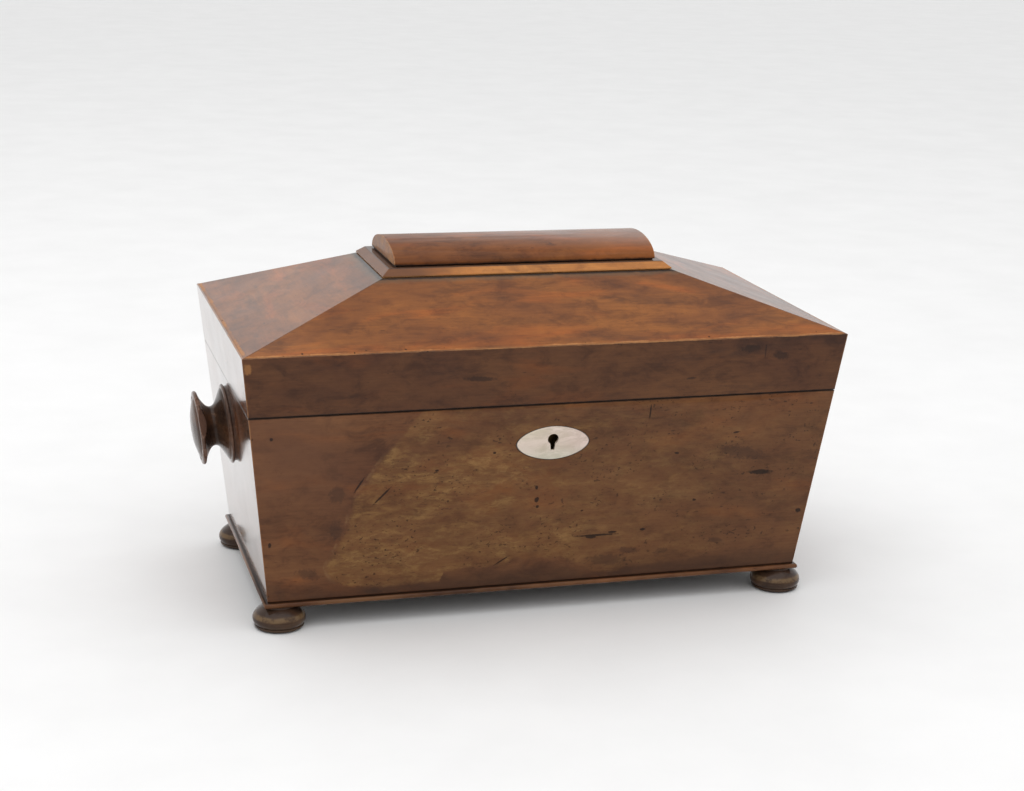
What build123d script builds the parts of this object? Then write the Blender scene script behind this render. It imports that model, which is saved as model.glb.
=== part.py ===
"""Sarcophagus tea caddy: a tapered, veneered case on bun feet with a hipped, hinged lid.

Millimetres, +X to the caddy's right, +Y to its back, +Z up, with the origin on the table
under the middle of the case. Everything is modelled closed, unlocked and at rest.
"""

import math
import os
from collections import namedtuple

from build123d import *

# ---------------------------------------------------------------- driving dimensions
RIM_HALF_X = 160.0  # half width and half depth at the lid's widest edge
RIM_HALF_Y = 87.5
FOOT_HALF_X = 145.5  # half width and half depth where the veneer ends above the base
FOOT_HALF_Y = 70.5
FOOT_HEIGHT = 12.5  # bun foot, from the table to the base board
VENEER_Z = 15.5  # lower edge of the case veneer
FLOOR_Z = 18.5  # top of the base board, where the walls stand
SEAM_Z = 117.5  # middle of the joint between case and lid
SEAM_GAP = 0.3
RIM_Z = 148.7  # arris where the rim meets the hipped top
HIP_HALF_X = 79.4  # half size and height of the hips' upper edge
HIP_HALF_Y = 34.6
HIP_Z = 175.0

VENEER = 0.9  # thicknesses of the sloping walls, measured level
BOARD = 9.0
INNER = VENEER + BOARD
HIP_BOARD = 8.4  # measured upright
LINING = 0.6
RUN = 400.0  # longer than the caddy, for profiles that are mitred afterwards
TENON_PLAY = 0.1

CASE_TOP = SEAM_Z - SEAM_GAP / 2
LID_BOTTOM = SEAM_Z + SEAM_GAP / 2
SLOPE_X = (RIM_HALF_X - FOOT_HALF_X) / (RIM_Z - VENEER_Z)
SLOPE_Y = (RIM_HALF_Y - FOOT_HALF_Y) / (RIM_Z - VENEER_Z)
TILT_X = math.degrees(math.atan(SLOPE_X))
TILT_Y = math.degrees(math.atan(SLOPE_Y))
HIP_RISE_X = (HIP_Z - RIM_Z) / (RIM_HALF_X - HIP_HALF_X)
HIP_RISE_Y = (HIP_Z - RIM_Z) / (RIM_HALF_Y - HIP_HALF_Y)


def half_x(z):
    """Half width of the show face at height z."""
    return FOOT_HALF_X + SLOPE_X * (z - VENEER_Z)


def half_y(z):
    """Half depth of the show face at height z."""
    return FOOT_HALF_Y + SLOPE_Y * (z - VENEER_Z)


Side = namedtuple("Side", "half slope rise hip_half plane outward")
SIDES = {
    "front": Side(half_y, SLOPE_Y, HIP_RISE_Y, HIP_HALF_Y, Plane.YZ, Vector(0, -1, 0)),
    "back": Side(half_y, SLOPE_Y, HIP_RISE_Y, HIP_HALF_Y, Plane.YZ, Vector(0, 1, 0)),
    "left": Side(half_x, SLOPE_X, HIP_RISE_X, HIP_HALF_X, Plane.XZ, Vector(-1, 0, 0)),
    "right": Side(half_x, SLOPE_X, HIP_RISE_X, HIP_HALF_X, Plane.XZ, Vector(1, 0, 0)),
}
CORNERS = {"front_left": (-1, -1), "front_right": (1, -1), "back_left": (-1, 1), "back_right": (1, 1)}
ENDS = {"left": -1, "right": 1}


# ------------------------------------------------------------------- shared geometry
def mitre(corner, inward, edge):
    """Plane through a corner that holds a level inward direction and the corner's edge."""
    inward = Vector(*inward)
    return Plane(corner, x_dir=inward, z_dir=inward.cross(Vector(*edge)))


def wall_mitre(sx, sy):
    """Mitre between two sloping walls."""
    corner = (sx * RIM_HALF_X, sy * RIM_HALF_Y, RIM_Z)
    return mitre(corner, (-sx, -sy, 0), (sx * SLOPE_X, sy * SLOPE_Y, 1))


def hip_mitre(sx, sy):
    """Mitre between two hips, upright over the hip line."""
    corner = (sx * RIM_HALF_X, sy * RIM_HALF_Y, RIM_Z)
    return mitre(corner, (-sx * (RIM_HALF_X - HIP_HALF_X), -sy * (RIM_HALF_Y - HIP_HALF_Y), 0), (0, 0, 1))


def base_mitre(sx, sy):
    """Upright mitre at a corner of the base."""
    return mitre((sx * FOOT_HALF_X, sy * FOOT_HALF_Y, 0), (-sx, -sy, 0), (0, 0, 1))


def run_along(side, profile, mitre_at):
    """A profile run along one side and mitred at both ends."""
    with BuildPart() as piece:
        extrude(profile, amount=RUN, both=True)
        for sx, sy in CORNERS.values():
            if Vector(sx, sy, 0).dot(side.outward) > 0:
                cut = mitre_at(sx, sy)
                split(bisect_by=cut, keep=Keep.TOP if cut.z_dir.dot(side.outward) > 0 else Keep.BOTTOM)
    return piece.part


def board_profile(side, corners):
    """A closed outline from (outward, z) corners in the side's upright plane."""
    sign = side.outward.X + side.outward.Y
    with BuildSketch(side.plane) as profile:
        with BuildLine():
            Polyline(*[(sign * u, z) for u, z in corners], close=True)
        make_face()
    return profile.sketch


def eave(side, inset, drop):
    """Where the surface `inset` inside the show face meets the surface `drop` under the hip."""
    z = RIM_Z + (side.rise * inset - drop) / (1 + side.rise * side.slope)
    return side.half(z) - inset, z


def wall_board(side, inset, thickness, z_low, z_high):
    """A level-ended board parallel to the show face."""
    corners = [
        (side.half(z_low) - inset, z_low),
        (side.half(z_high) - inset, z_high),
        (side.half(z_high) - inset - thickness, z_high),
        (side.half(z_low) - inset - thickness, z_low),
    ]
    return run_along(side, board_profile(side, corners), wall_mitre)


def rim_board(side, inset, thickness, drop):
    """A board of the lid's rim, from the seam up to the surface `drop` under the hip."""
    corners = [
        (side.half(LID_BOTTOM) - inset, LID_BOTTOM),
        eave(side, inset, drop),
        eave(side, inset + thickness, drop),
        (side.half(LID_BOTTOM) - inset - thickness, LID_BOTTOM),
    ]
    return run_along(side, board_profile(side, corners), wall_mitre)


def hip_board(side, inset, drop, thickness):
    """A sloping board of the lid's top, from the rim to the top board."""
    corners = [
        eave(side, inset, drop),
        (side.hip_half, HIP_Z - drop),
        (side.hip_half, HIP_Z - drop - thickness),
        eave(side, inset, drop + thickness),
    ]
    return run_along(side, board_profile(side, corners), hip_mitre)


def inside_block(x_low, x_high, inset, z_low, z_high):
    """A block between the front and back walls; an x end of None follows the end wall."""
    with BuildPart() as block:
        for z in (z_low, z_high):
            left = -half_x(z) + INNER + inset if x_low is None else x_low
            right = half_x(z) - INNER - inset if x_high is None else x_high
            with BuildSketch(Plane.XY.offset(z)):
                with Locations(((left + right) / 2, 0)):
                    Rectangle(right - left, 2 * (half_y(z) - INNER - inset))
        loft()
    return block.part


def turned(profile_of, plane):
    """A solid turned about the plane's own upright axis, from a function that draws (r, h)."""
    with BuildPart() as piece:
        with BuildSketch(Plane.XZ):
            with BuildLine():
                profile_of()
            make_face()
        revolve(axis=Axis.Z)
    return plane.location * piece.part


def save(builder, name):
    """Labels a finished piece and writes its STEP file."""
    builder.part.label = name
    export_step(builder.part, f"parts/{name}.step")


# ------------------------------------------------------------------------ wood screws
Screw = namedtuple("Screw", "head_r shank_r length head_h")
SCREW_PLAY = 0.06
SLOT_WIDTH = 0.5
SLOT_DEPTH = 0.4


def screw_profile(size, play):
    """Half outline of a countersunk screw that points down from its head at the origin."""
    top = 0.5 if play else 0.0
    point = size.length + play
    Polyline(
        (0, top), (size.head_r + play, top), (size.head_r + play, -0.15),
        (size.shank_r + play, -size.head_h), (size.shank_r + play, 1.5 * size.shank_r - point),
        (0.2, -point), (0, -point), close=True,
    )


def screws(size, places):
    """Slotted countersunk screws, one at each place."""
    with BuildPart() as group:
        for place in places:
            add(turned(lambda: screw_profile(size, 0), Plane(place)))
            with BuildSketch(Plane(place)):
                Rectangle(2 * size.head_r + 1, SLOT_WIDTH)
            extrude(amount=-SLOT_DEPTH, mode=Mode.SUBTRACT)
    return group.part


def screw_holes(size, places):
    """The countersunk holes that such screws need, with a little play."""
    with BuildPart() as group:
        for place in places:
            add(turned(lambda: screw_profile(size, SCREW_PLAY), Plane(place)))
    return group.part


os.makedirs("parts", exist_ok=True)

# ------------------------------------------------------------------- base and bun feet
FOOT_INSET = 7.0
SPIGOT_R = 4.5
SPIGOT = 5.0
foot_spots = {
    corner: (sx * (FOOT_HALF_X - FOOT_INSET), sy * (FOOT_HALF_Y - FOOT_INSET), FOOT_HEIGHT)
    for corner, (sx, sy) in CORNERS.items()
}

with BuildPart() as base_board:
    with BuildSketch(Plane.XY.offset(FOOT_HEIGHT)):
        Rectangle(2 * (FOOT_HALF_X - VENEER), 2 * (FOOT_HALF_Y - VENEER))
    extrude(amount=FLOOR_Z - FOOT_HEIGHT)
    with Locations(*foot_spots.values()):
        Cylinder(
            SPIGOT_R + TENON_PLAY, SPIGOT + TENON_PLAY,
            align=(Align.CENTER, Align.CENTER, Align.MIN), mode=Mode.SUBTRACT,
        )
save(base_board, "base_board")


def foot_profile():
    """A thin sole, a groove, a flattened bun and a spigot, down from the base board."""
    down = -FOOT_HEIGHT
    sole = Polyline((0, down), (11.2, down), (12.5, down + 0.7))
    band = ThreePointArc(sole @ 1, (12.95, down + 1.4), (12.4, down + 2.2))
    bun = Spline(
        band @ 1, (13.4, down + 3.4), (13.75, down + 5.0), (13.0, down + 7.4), (10.6, down + 10.0),
        (8.2, down + 11.6),
    )
    Polyline(bun @ 1, (8.2, 0), (SPIGOT_R, 0), (SPIGOT_R, SPIGOT), (0, SPIGOT), (0, down))


for corner_name, foot_spot in foot_spots.items():
    with BuildPart() as bun_foot:
        add(turned(foot_profile, Plane(foot_spot)))
    save(bun_foot, f"bun_foot_{corner_name}")

# ---------------------------------------------------------------------- base moulding
MOULDING_PROUD = 2.0
nose_r = (VENEER_Z - FOOT_HEIGHT) / 2

for side_name, side in SIDES.items():
    base_edge = side.half(VENEER_Z) - VENEER
    nose = side.half(VENEER_Z) + MOULDING_PROUD - nose_r
    facing = side.outward.X + side.outward.Y
    with BuildSketch(side.plane) as moulding_profile:
        with BuildLine():
            upper = Line((facing * base_edge, VENEER_Z), (facing * nose, VENEER_Z))
            tip = (facing * (nose + nose_r), VENEER_Z - nose_r)
            rounded = ThreePointArc(upper @ 1, tip, (facing * nose, FOOT_HEIGHT))
            Polyline(rounded @ 1, (facing * base_edge, FOOT_HEIGHT), upper @ 0)
        make_face()
    with BuildPart() as base_moulding:
        add(run_along(side, moulding_profile.sketch, base_mitre))
    save(base_moulding, f"base_moulding_{side_name}")

# ---------------------------------------------------------------- frames on the faces
KEY_X = 1.0
KEY_Z = 97.9
KNOB_Z = 91.5
INNER_DEPTH = INNER * math.cos(math.radians(TILT_Y))  # square to the front face
KEY_TO_SEAM = (CASE_TOP - KEY_Z) / math.cos(math.radians(TILT_Y))

# at the key, with x to the right, y up the slope and z out of the front face
key_face = Plane(
    (KEY_X, -half_y(KEY_Z), KEY_Z), x_dir=(1, 0, 0),
    z_dir=(0, -math.cos(math.radians(TILT_Y)), -math.sin(math.radians(TILT_Y))),
)
# on each end face, with z outward along the knob's axis
knob_faces = {
    end: Plane(
        (sign * half_x(KNOB_Z), 0, KNOB_Z), x_dir=(0, 1, 0),
        z_dir=(sign * math.cos(math.radians(TILT_X)), 0, -math.sin(math.radians(TILT_X))),
    )
    for end, sign in ENDS.items()
}

# ------------------------------------------------------------- escutcheon and keyholes
KEYHOLE_R = 2.92
WOOD_KEYHOLE_GROW = 0.9
KEY_PLAY = 0.6
ESCUTCHEON_X, ESCUTCHEON_Y = 19.7, 9.35
OVAL_POWER = 1.8  # 2 is an ellipse; less draws the ends out towards a point
ESCUTCHEON_PLAY = 0.25
ESCUTCHEON_DROP = 2.1  # the oval's centre is a little below the key
ESCUTCHEON_IN, ESCUTCHEON_OUT = 1.2, 0.1


def keyhole_outline(grow=0.0):
    """A round for the key's pipe with a tapering slot for its bit below."""
    with BuildSketch(mode=Mode.PRIVATE) as hole:
        Circle(KEYHOLE_R + grow)
        with BuildLine():
            Polyline(
                (-1.75 - grow, 0), (1.75 + grow, 0), (1.0 + grow, -6.2 - grow), (-1.0 - grow, -6.2 - grow),
                close=True,
            )
        make_face()
    return hole.sketch


def escutcheon_outline(grow=0.0):
    """A slightly pointed oval, centred a little below the key."""
    quarter = []
    for n in range(7):
        turn = math.radians(15 * n)
        x = math.cos(turn) ** (2 / OVAL_POWER) * (ESCUTCHEON_X + grow)
        y = math.sin(turn) ** (2 / OVAL_POWER) * (ESCUTCHEON_Y + grow)
        quarter.append((x, y))
    upper = quarter + [(-x, y) for x, y in reversed(quarter[:-1])]
    with BuildSketch(mode=Mode.PRIVATE) as oval:
        with BuildLine():
            Spline(*[(x, y - ESCUTCHEON_DROP) for x, y in upper])
            Spline(*[(x, -y - ESCUTCHEON_DROP) for x, y in upper])
        make_face()
    return oval.sketch


with BuildPart() as keyhole_escutcheon:
    with BuildSketch(key_face.offset(-ESCUTCHEON_IN)):
        add(escutcheon_outline())
        add(keyhole_outline(), mode=Mode.SUBTRACT)
    extrude(amount=ESCUTCHEON_IN + ESCUTCHEON_OUT)
save(keyhole_escutcheon, "keyhole_escutcheon")

with BuildPart() as escutcheon_space:
    with BuildSketch(key_face.offset(-ESCUTCHEON_IN)):
        add(escutcheon_outline(ESCUTCHEON_PLAY))
    extrude(amount=2 * ESCUTCHEON_IN)

with BuildPart() as keyhole_space:
    with BuildSketch(key_face.offset(-INNER_DEPTH)):
        add(keyhole_outline(grow=WOOD_KEYHOLE_GROW))
    extrude(amount=INNER_DEPTH)

# ------------------------------------------------------------- lock, in the key's frame
LOCK_HALF = 23.0
LOCK_BELOW = 12.0  # from the key down to the lower edge of the case
LOCK_FRONT = 2.6  # wood and veneer left in front of the lock
CAP = 0.8
PLATE = 1.0
LOCK_RIM = 1.2
SELVEDGE_HALF = 29.0
SELVEDGE = 1.5
SELVEDGE_WIDTH = 8.4
SELVEDGE_BACK = INNER - half_y(CASE_TOP)  # inner edge of the wall's top
STAPLE_X = 11.0
STAPLE_Y = -76.55
STAPLE_THICK, STAPLE_WIDE, STAPLE_LONG = 3.0, 3.8, 10.0
STAPLE_PLAY = 0.5
BEAK = 1.6  # height of the bolt's beaks
BOLT_THICK = 1.6
BEAK_Y = KEY_TO_SEAM - 6.4
BAR_LOW, BAR_HIGH = 5.2, 8.8
ARM = 3.0
BOLT_TRAVEL = 4.5
REST_GAP = 0.3  # between a withdrawn beak and its staple
beak_reach = BOLT_TRAVEL + 0.1
SPRING_THICK = 0.5
bolt_depth = (INNER_DEPTH - PLATE + LOCK_FRONT + CAP) / 2
lock_screw = Screw(1.9, 0.95, 7.5, SELVEDGE)
selvedge_y = SELVEDGE_BACK - SELVEDGE_WIDTH / 2
staple_spots = [(KEY_X + s * STAPLE_X, STAPLE_Y) for s in (-1, 1)]
selvedge_screws = [Location((KEY_X + s * 26.0, selvedge_y, CASE_TOP)) for s in (-1, 1)]
under_selvedge = Plane.XY.offset(CASE_TOP - SELVEDGE)


def lock_outline(rim=0.0):
    """The lock case's face, from its lower edge to just above the selvedge."""
    with BuildSketch(mode=Mode.PRIVATE) as outline:
        with Locations((0, (KEY_TO_SEAM - LOCK_BELOW) / 2)):
            Rectangle(2 * (LOCK_HALF - rim), KEY_TO_SEAM + LOCK_BELOW - 2 * rim)
    return outline.sketch


with BuildPart() as lock_space:
    with BuildSketch(key_face.offset(-2 * INNER_DEPTH)):
        add(lock_outline())
    extrude(amount=2 * INNER_DEPTH - LOCK_FRONT)
    with BuildSketch(Plane((KEY_X, SELVEDGE_BACK, CASE_TOP - SELVEDGE))):
        Rectangle(2 * SELVEDGE_HALF, 2 * SELVEDGE_WIDTH)
    extrude(amount=2 * SELVEDGE)
    add(screw_holes(lock_screw, selvedge_screws))

with BuildPart() as lock_body:
    with BuildSketch(key_face.offset(-INNER_DEPTH)):
        add(lock_outline())
    extrude(amount=INNER_DEPTH - LOCK_FRONT - CAP)
    with BuildSketch(key_face.offset(-INNER_DEPTH + PLATE)):
        add(lock_outline(LOCK_RIM))
        with Locations((0, KEY_TO_SEAM)):
            Rectangle(2 * (LOCK_HALF - LOCK_RIM), 4 * LOCK_RIM)
    extrude(amount=INNER_DEPTH, mode=Mode.SUBTRACT)
    split(bisect_by=under_selvedge, keep=Keep.BOTTOM)
    with Locations((KEY_X, SELVEDGE_BACK, CASE_TOP)):
        Box(2 * SELVEDGE_HALF, SELVEDGE_WIDTH, SELVEDGE, align=(Align.CENTER, Align.MAX, Align.MAX))
    with BuildSketch(Plane.XY.offset(CASE_TOP)):
        with Locations(*staple_spots):
            Rectangle(STAPLE_THICK + 2 * STAPLE_PLAY, STAPLE_WIDE + 2 * STAPLE_PLAY)
    extrude(amount=-SELVEDGE, mode=Mode.SUBTRACT)
    add(screw_holes(lock_screw, selvedge_screws), mode=Mode.SUBTRACT)
save(lock_body, "lock_body")

with BuildPart() as lock_cap:
    with BuildSketch(key_face.offset(-LOCK_FRONT - CAP)):
        add(lock_outline())
        add(keyhole_outline(grow=KEY_PLAY), mode=Mode.SUBTRACT)
    extrude(amount=CAP)
    split(bisect_by=under_selvedge, keep=Keep.BOTTOM)
save(lock_cap, "lock_cap")

with BuildPart() as lock_bolt:
    with BuildSketch(key_face.offset(-bolt_depth - BOLT_THICK / 2)):
        with Locations((-2.6, (BAR_LOW + BAR_HIGH) / 2)):
            Rectangle(36, BAR_HIGH - BAR_LOW)
        for s in (-1, 1):
            tip = s * STAPLE_X - STAPLE_THICK / 2 - REST_GAP
            with Locations((tip - beak_reach, BAR_LOW)):
                Rectangle(ARM, BEAK_Y + BEAK / 2 - BAR_LOW, align=(Align.MAX, Align.MIN))
            with Locations((tip, BEAK_Y)):
                Rectangle(beak_reach + ARM, BEAK, align=(Align.MAX, Align.CENTER))
        # the notch that the key's bit turns in
        with Locations((0, BAR_LOW)):
            Rectangle(4.4, 1.8, align=(Align.CENTER, Align.MIN), mode=Mode.SUBTRACT)
    extrude(amount=BOLT_THICK)
save(lock_bolt, "lock_bolt")

with BuildPart() as lock_spring:
    with BuildSketch(key_face.offset(-bolt_depth - BOLT_THICK / 2)):
        with BuildLine():
            inner_bow = ThreePointArc((-20.5, -3.0), (-12.5, BAR_LOW - REST_GAP - SPRING_THICK), (-4.5, -3.0))
            outer_bow = ThreePointArc((-21.1, -3.0), (-12.5, BAR_LOW - REST_GAP), (-3.9, -3.0))
            Line(inner_bow @ 0, outer_bow @ 0)
            Line(inner_bow @ 1, outer_bow @ 1)
        make_face()
    extrude(amount=BOLT_THICK)
save(lock_spring, "lock_spring")

with BuildPart() as lock_screws:
    add(screws(lock_screw, selvedge_screws))
save(lock_screws, "lock_screws")

# ----------------------------------------------------------------------------- hinges
HINGE_X = 95.0
HINGE_LENGTH = 34.0
HINGE_Y = 84.1
KNUCKLES = 5
KNUCKLE_R = 2.2
KNUCKLE_GAP = 0.15
HINGE_PIN_R = 1.0
HINGE_PLAY = 0.05
LEAF = 1.2
LEAF_BACK = half_y(SEAM_Z) - INNER + 0.8
LEAF_EDGE = HINGE_Y - KNUCKLE_R - 0.3
HINGE_SCREW_STEP = 12.0
hinge_screw = Screw(2.3, 1.15, 8.0, LEAF)
hinge_axes = {end: Location((sign * HINGE_X, HINGE_Y, SEAM_Z), (0, 90, 0)) for end, sign in ENDS.items()}
HINGE_HALVES = {"case": -1, "lid": 1}  # below and above the seam


def seam_face(up):
    """Height of the case's or the lid's own face at the seam."""
    return SEAM_Z + up * SEAM_GAP / 2


def hinge_screw_places(up):
    """Both hinges' screws, driven away from the seam."""
    y = (LEAF_BACK + LEAF_EDGE) / 2
    turn = (180, 0, 0) if up > 0 else (0, 0, 0)
    return [
        Location((sign * HINGE_X + step * HINGE_SCREW_STEP, y, seam_face(up)), turn)
        for sign in ENDS.values() for step in (-1, 0, 1)
    ]


def hinge_leaf(end, up):
    """A leaf with its knuckles, three on the case and two on the lid, bored for the pin."""
    away = Align.MIN if up > 0 else Align.MAX
    centre = ENDS[end] * HINGE_X
    pitch = HINGE_LENGTH / KNUCKLES
    own = range(0, KNUCKLES, 2) if up < 0 else range(1, KNUCKLES, 2)
    with BuildPart() as leaf:
        with Locations((centre, LEAF_BACK, seam_face(up))):
            Box(HINGE_LENGTH, LEAF_EDGE - LEAF_BACK, LEAF, align=(Align.CENTER, Align.MIN, away))
        for n in own:
            middle = centre + (n - (KNUCKLES - 1) / 2) * pitch
            with Locations((middle, LEAF_EDGE, seam_face(up))):
                Box(pitch - 2 * KNUCKLE_GAP, HINGE_Y - LEAF_EDGE, LEAF, align=(Align.CENTER, Align.MIN, away))
            with Locations(Location((middle, HINGE_Y, SEAM_Z), (0, 90, 0))):
                Cylinder(KNUCKLE_R, pitch - 2 * KNUCKLE_GAP)
        with Locations(hinge_axes[end]):
            Cylinder(HINGE_PIN_R + (HINGE_PLAY if up > 0 else 0), 2 * HINGE_LENGTH, mode=Mode.SUBTRACT)
        add(screw_holes(hinge_screw, hinge_screw_places(up)), mode=Mode.SUBTRACT)
    return leaf.part


def hinge_space(up):
    """What both hinges and their screws take out of the case or the lid."""
    away = Align.MIN if up > 0 else Align.MAX
    with BuildPart() as space:
        with Locations(*[(sign * HINGE_X, LEAF_BACK, seam_face(up)) for sign in ENDS.values()]):
            Box(HINGE_LENGTH, 2 * INNER, LEAF, align=(Align.CENTER, Align.MIN, away))
        with Locations(*hinge_axes.values()):
            Cylinder(KNUCKLE_R + SEAM_GAP, HINGE_LENGTH)
        add(screw_holes(hinge_screw, hinge_screw_places(up)))
    return space.part


for half_name, up in HINGE_HALVES.items():
    for end in ENDS:
        with BuildPart() as hinge_half:
            add(hinge_leaf(end, up))
        save(hinge_half, f"hinge_{half_name}_leaf_{end}")
    with BuildPart() as hinge_screw_set:
        add(screws(hinge_screw, hinge_screw_places(up)))
    save(hinge_screw_set, f"hinge_{half_name}_screws")

with BuildPart() as hinge_pins:
    with Locations(*hinge_axes.values()):
        Cylinder(HINGE_PIN_R, HINGE_LENGTH)
save(hinge_pins, "hinge_pins")

# ---------------------------------------------------------------- case walls and skins
KNOB_TENON_R = 6.0
KNOB_TENON = 8.0
wall_cuts = {"front": [lock_space.part, escutcheon_space.part, keyhole_space.part], "back": [hinge_space(-1)]}
veneer_cuts = {"front": [escutcheon_space.part], "back": [hinge_space(-1)]}

for end, face in knob_faces.items():
    with BuildPart() as tenon_hole:
        with BuildSketch(face.offset(-KNOB_TENON - TENON_PLAY)):
            Circle(KNOB_TENON_R + TENON_PLAY)
        extrude(amount=2 * KNOB_TENON)
    wall_cuts[end] = veneer_cuts[end] = [tenon_hole.part]

for side_name, side in SIDES.items():
    with BuildPart() as case_wall:
        add(wall_board(side, VENEER, BOARD, FLOOR_Z, CASE_TOP))
        for cut in wall_cuts[side_name]:
            add(cut, mode=Mode.SUBTRACT)
    save(case_wall, f"{side_name}_wall")
    with BuildPart() as case_veneer:
        add(wall_board(side, 0, VENEER, VENEER_Z, CASE_TOP))
        for cut in veneer_cuts[side_name]:
            add(cut, mode=Mode.SUBTRACT)
    save(case_veneer, f"{side_name}_veneer")


# ------------------------------------------------------------------------- side knobs
def knob_profile():
    """A ringed and beaded base, a deep waist, a rolled lip and a domed face with a ring turned in it."""
    base = Polyline((0, -KNOB_TENON), (KNOB_TENON_R, -KNOB_TENON), (KNOB_TENON_R, 0), (20.2, 0), (20.2, 1.0))
    bead = ThreePointArc(base @ 1, (21.3, 1.9), (20.4, 2.8))
    step = Polyline(bead @ 1, (19.3, 2.9), (19.1, 3.3))
    cove = Spline(
        step @ 1, (17.0, 4.4), (13.6, 6.1), (11.2, 7.8), (10.5, 9.7), (11.2, 11.5), (13.2, 13.2),
        (16.2, 14.8), (19.0, 15.8),
    )
    lip = ThreePointArc(cove @ 1, (19.75, 16.7), (19.1, 17.7))
    ring = Polyline(lip @ 1, (17.4, 18.0), (17.0, 17.6), (16.4, 17.6), (16.0, 18.1))
    dome = Spline(ring @ 1, (8.2, 20.3), (0, 20.9), tangents=((-1, 0.36), (-1, 0)))
    Line(dome @ 1, base @ 0)


for end, face in knob_faces.items():
    with BuildPart() as side_knob:
        add(turned(knob_profile, face))
    save(side_knob, f"side_knob_{end}")

# --------------------------------------------------------------------------- interior
PARTITION_X = 48.0  # the faces towards the bowl
PARTITION = 6.0
PARTITION_TOP = 112.0
PLATFORM_Z = 94.0
PLATFORM = 6.0
BOWL_HOLE_R = 43.4
LEDGE = 4.0
TEA_LID = 5.0
TEA_LID_PLAY = 0.6
REST_PLAY = 0.1  # under the pieces that lift out
TEA_LID_Z = PARTITION_TOP - TEA_LID
ledge_z = TEA_LID_Z - REST_PLAY - LEDGE


def tea_space(end, inset, z_low, z_high):
    """The space of one tea compartment between two heights, shrunk by inset all round."""
    near = PARTITION_X + PARTITION + inset
    if end == "left":
        return inside_block(None, -near, inset, z_low, z_high)
    return inside_block(near, None, inset, z_low, z_high)


for end, sign in ENDS.items():
    with BuildPart() as partition:
        faces = sorted((sign * PARTITION_X, sign * (PARTITION_X + PARTITION)))
        add(inside_block(*faces, 0, FLOOR_Z, PARTITION_TOP))
    save(partition, f"partition_{end}")

with BuildPart() as bowl_platform:
    add(inside_block(-PARTITION_X, PARTITION_X, 0, PLATFORM_Z, PLATFORM_Z + PLATFORM))
    with BuildSketch(Plane.XY.offset(PLATFORM_Z)):
        Circle(BOWL_HOLE_R)
    extrude(amount=PLATFORM, mode=Mode.SUBTRACT)
    upper_edge = bowl_platform.edges().filter_by(GeomType.CIRCLE).sort_by(Axis.Z)[-1:]
    chamfer(upper_edge, length=0.8)
save(bowl_platform, "bowl_platform")

with BuildPart() as tea_foils:
    for end in ENDS:
        add(tea_space(end, 0, FLOOR_Z, ledge_z))
        add(tea_space(end, LINING, FLOOR_Z + LINING, ledge_z), mode=Mode.SUBTRACT)
save(tea_foils, "tea_foils")

with BuildPart() as tea_ledges:
    for end in ENDS:
        add(tea_space(end, 0, ledge_z, ledge_z + LEDGE))
        add(tea_space(end, LEDGE, ledge_z, ledge_z + LEDGE), mode=Mode.SUBTRACT)
save(tea_ledges, "tea_ledges")

# --------------------------------------------------------- loose tea lids and their knobs
PULL_TENON_R = 2.5
PULL_TENON = 4.0
tea_lid_near = PARTITION_X + PARTITION + TEA_LID_PLAY
tea_lid_far = half_x(TEA_LID_Z) - INNER - TEA_LID_PLAY
tea_lid_half_y = half_y(TEA_LID_Z) - INNER - TEA_LID_PLAY


def pull_profile():
    """A small turned pull: tenon, collar, neck and a round head."""
    tenon = Polyline((0, -PULL_TENON), (PULL_TENON_R, -PULL_TENON), (PULL_TENON_R, 0), (6.0, 0), (6.0, 0.9))
    neck = Spline(tenon @ 1, (3.6, 2.0), (2.8, 3.9), (4.4, 5.6))
    head = ThreePointArc(neck @ 1, (6.4, 9.4), (1.2, 12.6))
    tip = Spline(head @ 1, (1.0, 13.4), (0, 13.8), tangents=((0, 1), (-1, 0)))
    Line(tip @ 1, tenon @ 0)


for end, sign in ENDS.items():
    middle = sign * (tea_lid_near + tea_lid_far) / 2
    with BuildPart() as tea_lid:
        with BuildSketch(Plane((middle, 0, TEA_LID_Z))):
            Rectangle(tea_lid_far - tea_lid_near, 2 * tea_lid_half_y)
        extrude(amount=TEA_LID)
        chamfer(tea_lid.faces().sort_by(Axis.Z)[-1].edges(), length=0.8)
        with BuildSketch(Plane((middle, 0, PARTITION_TOP))):
            Circle(PULL_TENON_R + TENON_PLAY)
        extrude(amount=-PULL_TENON - TENON_PLAY, mode=Mode.SUBTRACT)
    save(tea_lid, f"tea_lid_{end}")
    with BuildPart() as lid_pull:
        add(turned(pull_profile, Plane((middle, 0, PARTITION_TOP))))
    save(lid_pull, f"tea_lid_pull_{end}")


# ------------------------------------------------------------------------ mixing bowl
def bowl_profile():
    """A footed bowl that hangs in the platform's hole by its turned-out lip."""
    lip_z = PLATFORM_Z + PLATFORM + REST_PLAY
    foot = Polyline((0, 34), (14, 34), (18, 30), (24, 30), (24.4, 31.4), (20, 35.5))
    side = Spline(foot @ 1, (29, 41), (38, 56), (42.2, 76), (42.9, lip_z))
    lip = Polyline(side @ 1, (46.4, lip_z), (47.0, lip_z + 0.8), (47.0, lip_z + 2.4), (45.6, lip_z + 11.0))
    rim = ThreePointArc(lip @ 1, (44.4, lip_z + 12.0), (43.2, lip_z + 11.0))
    well = Spline(rim @ 1, (41.0, lip_z), (39.2, 76), (34.8, 57), (25, 43.5), (0, 40))
    Line(well @ 1, foot @ 0)


with BuildPart() as mixing_bowl:
    add(turned(bowl_profile, Plane.XY))
save(mixing_bowl, "mixing_bowl")

# ------------------------------------------------------------------------------- lid
link_screw = Screw(1.7, 0.85, 6.5, SELVEDGE)
link_screws_at = [Location((KEY_X + s * 20.0, selvedge_y, LID_BOTTOM), (180, 0, 0)) for s in (-1, 1)]

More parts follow.
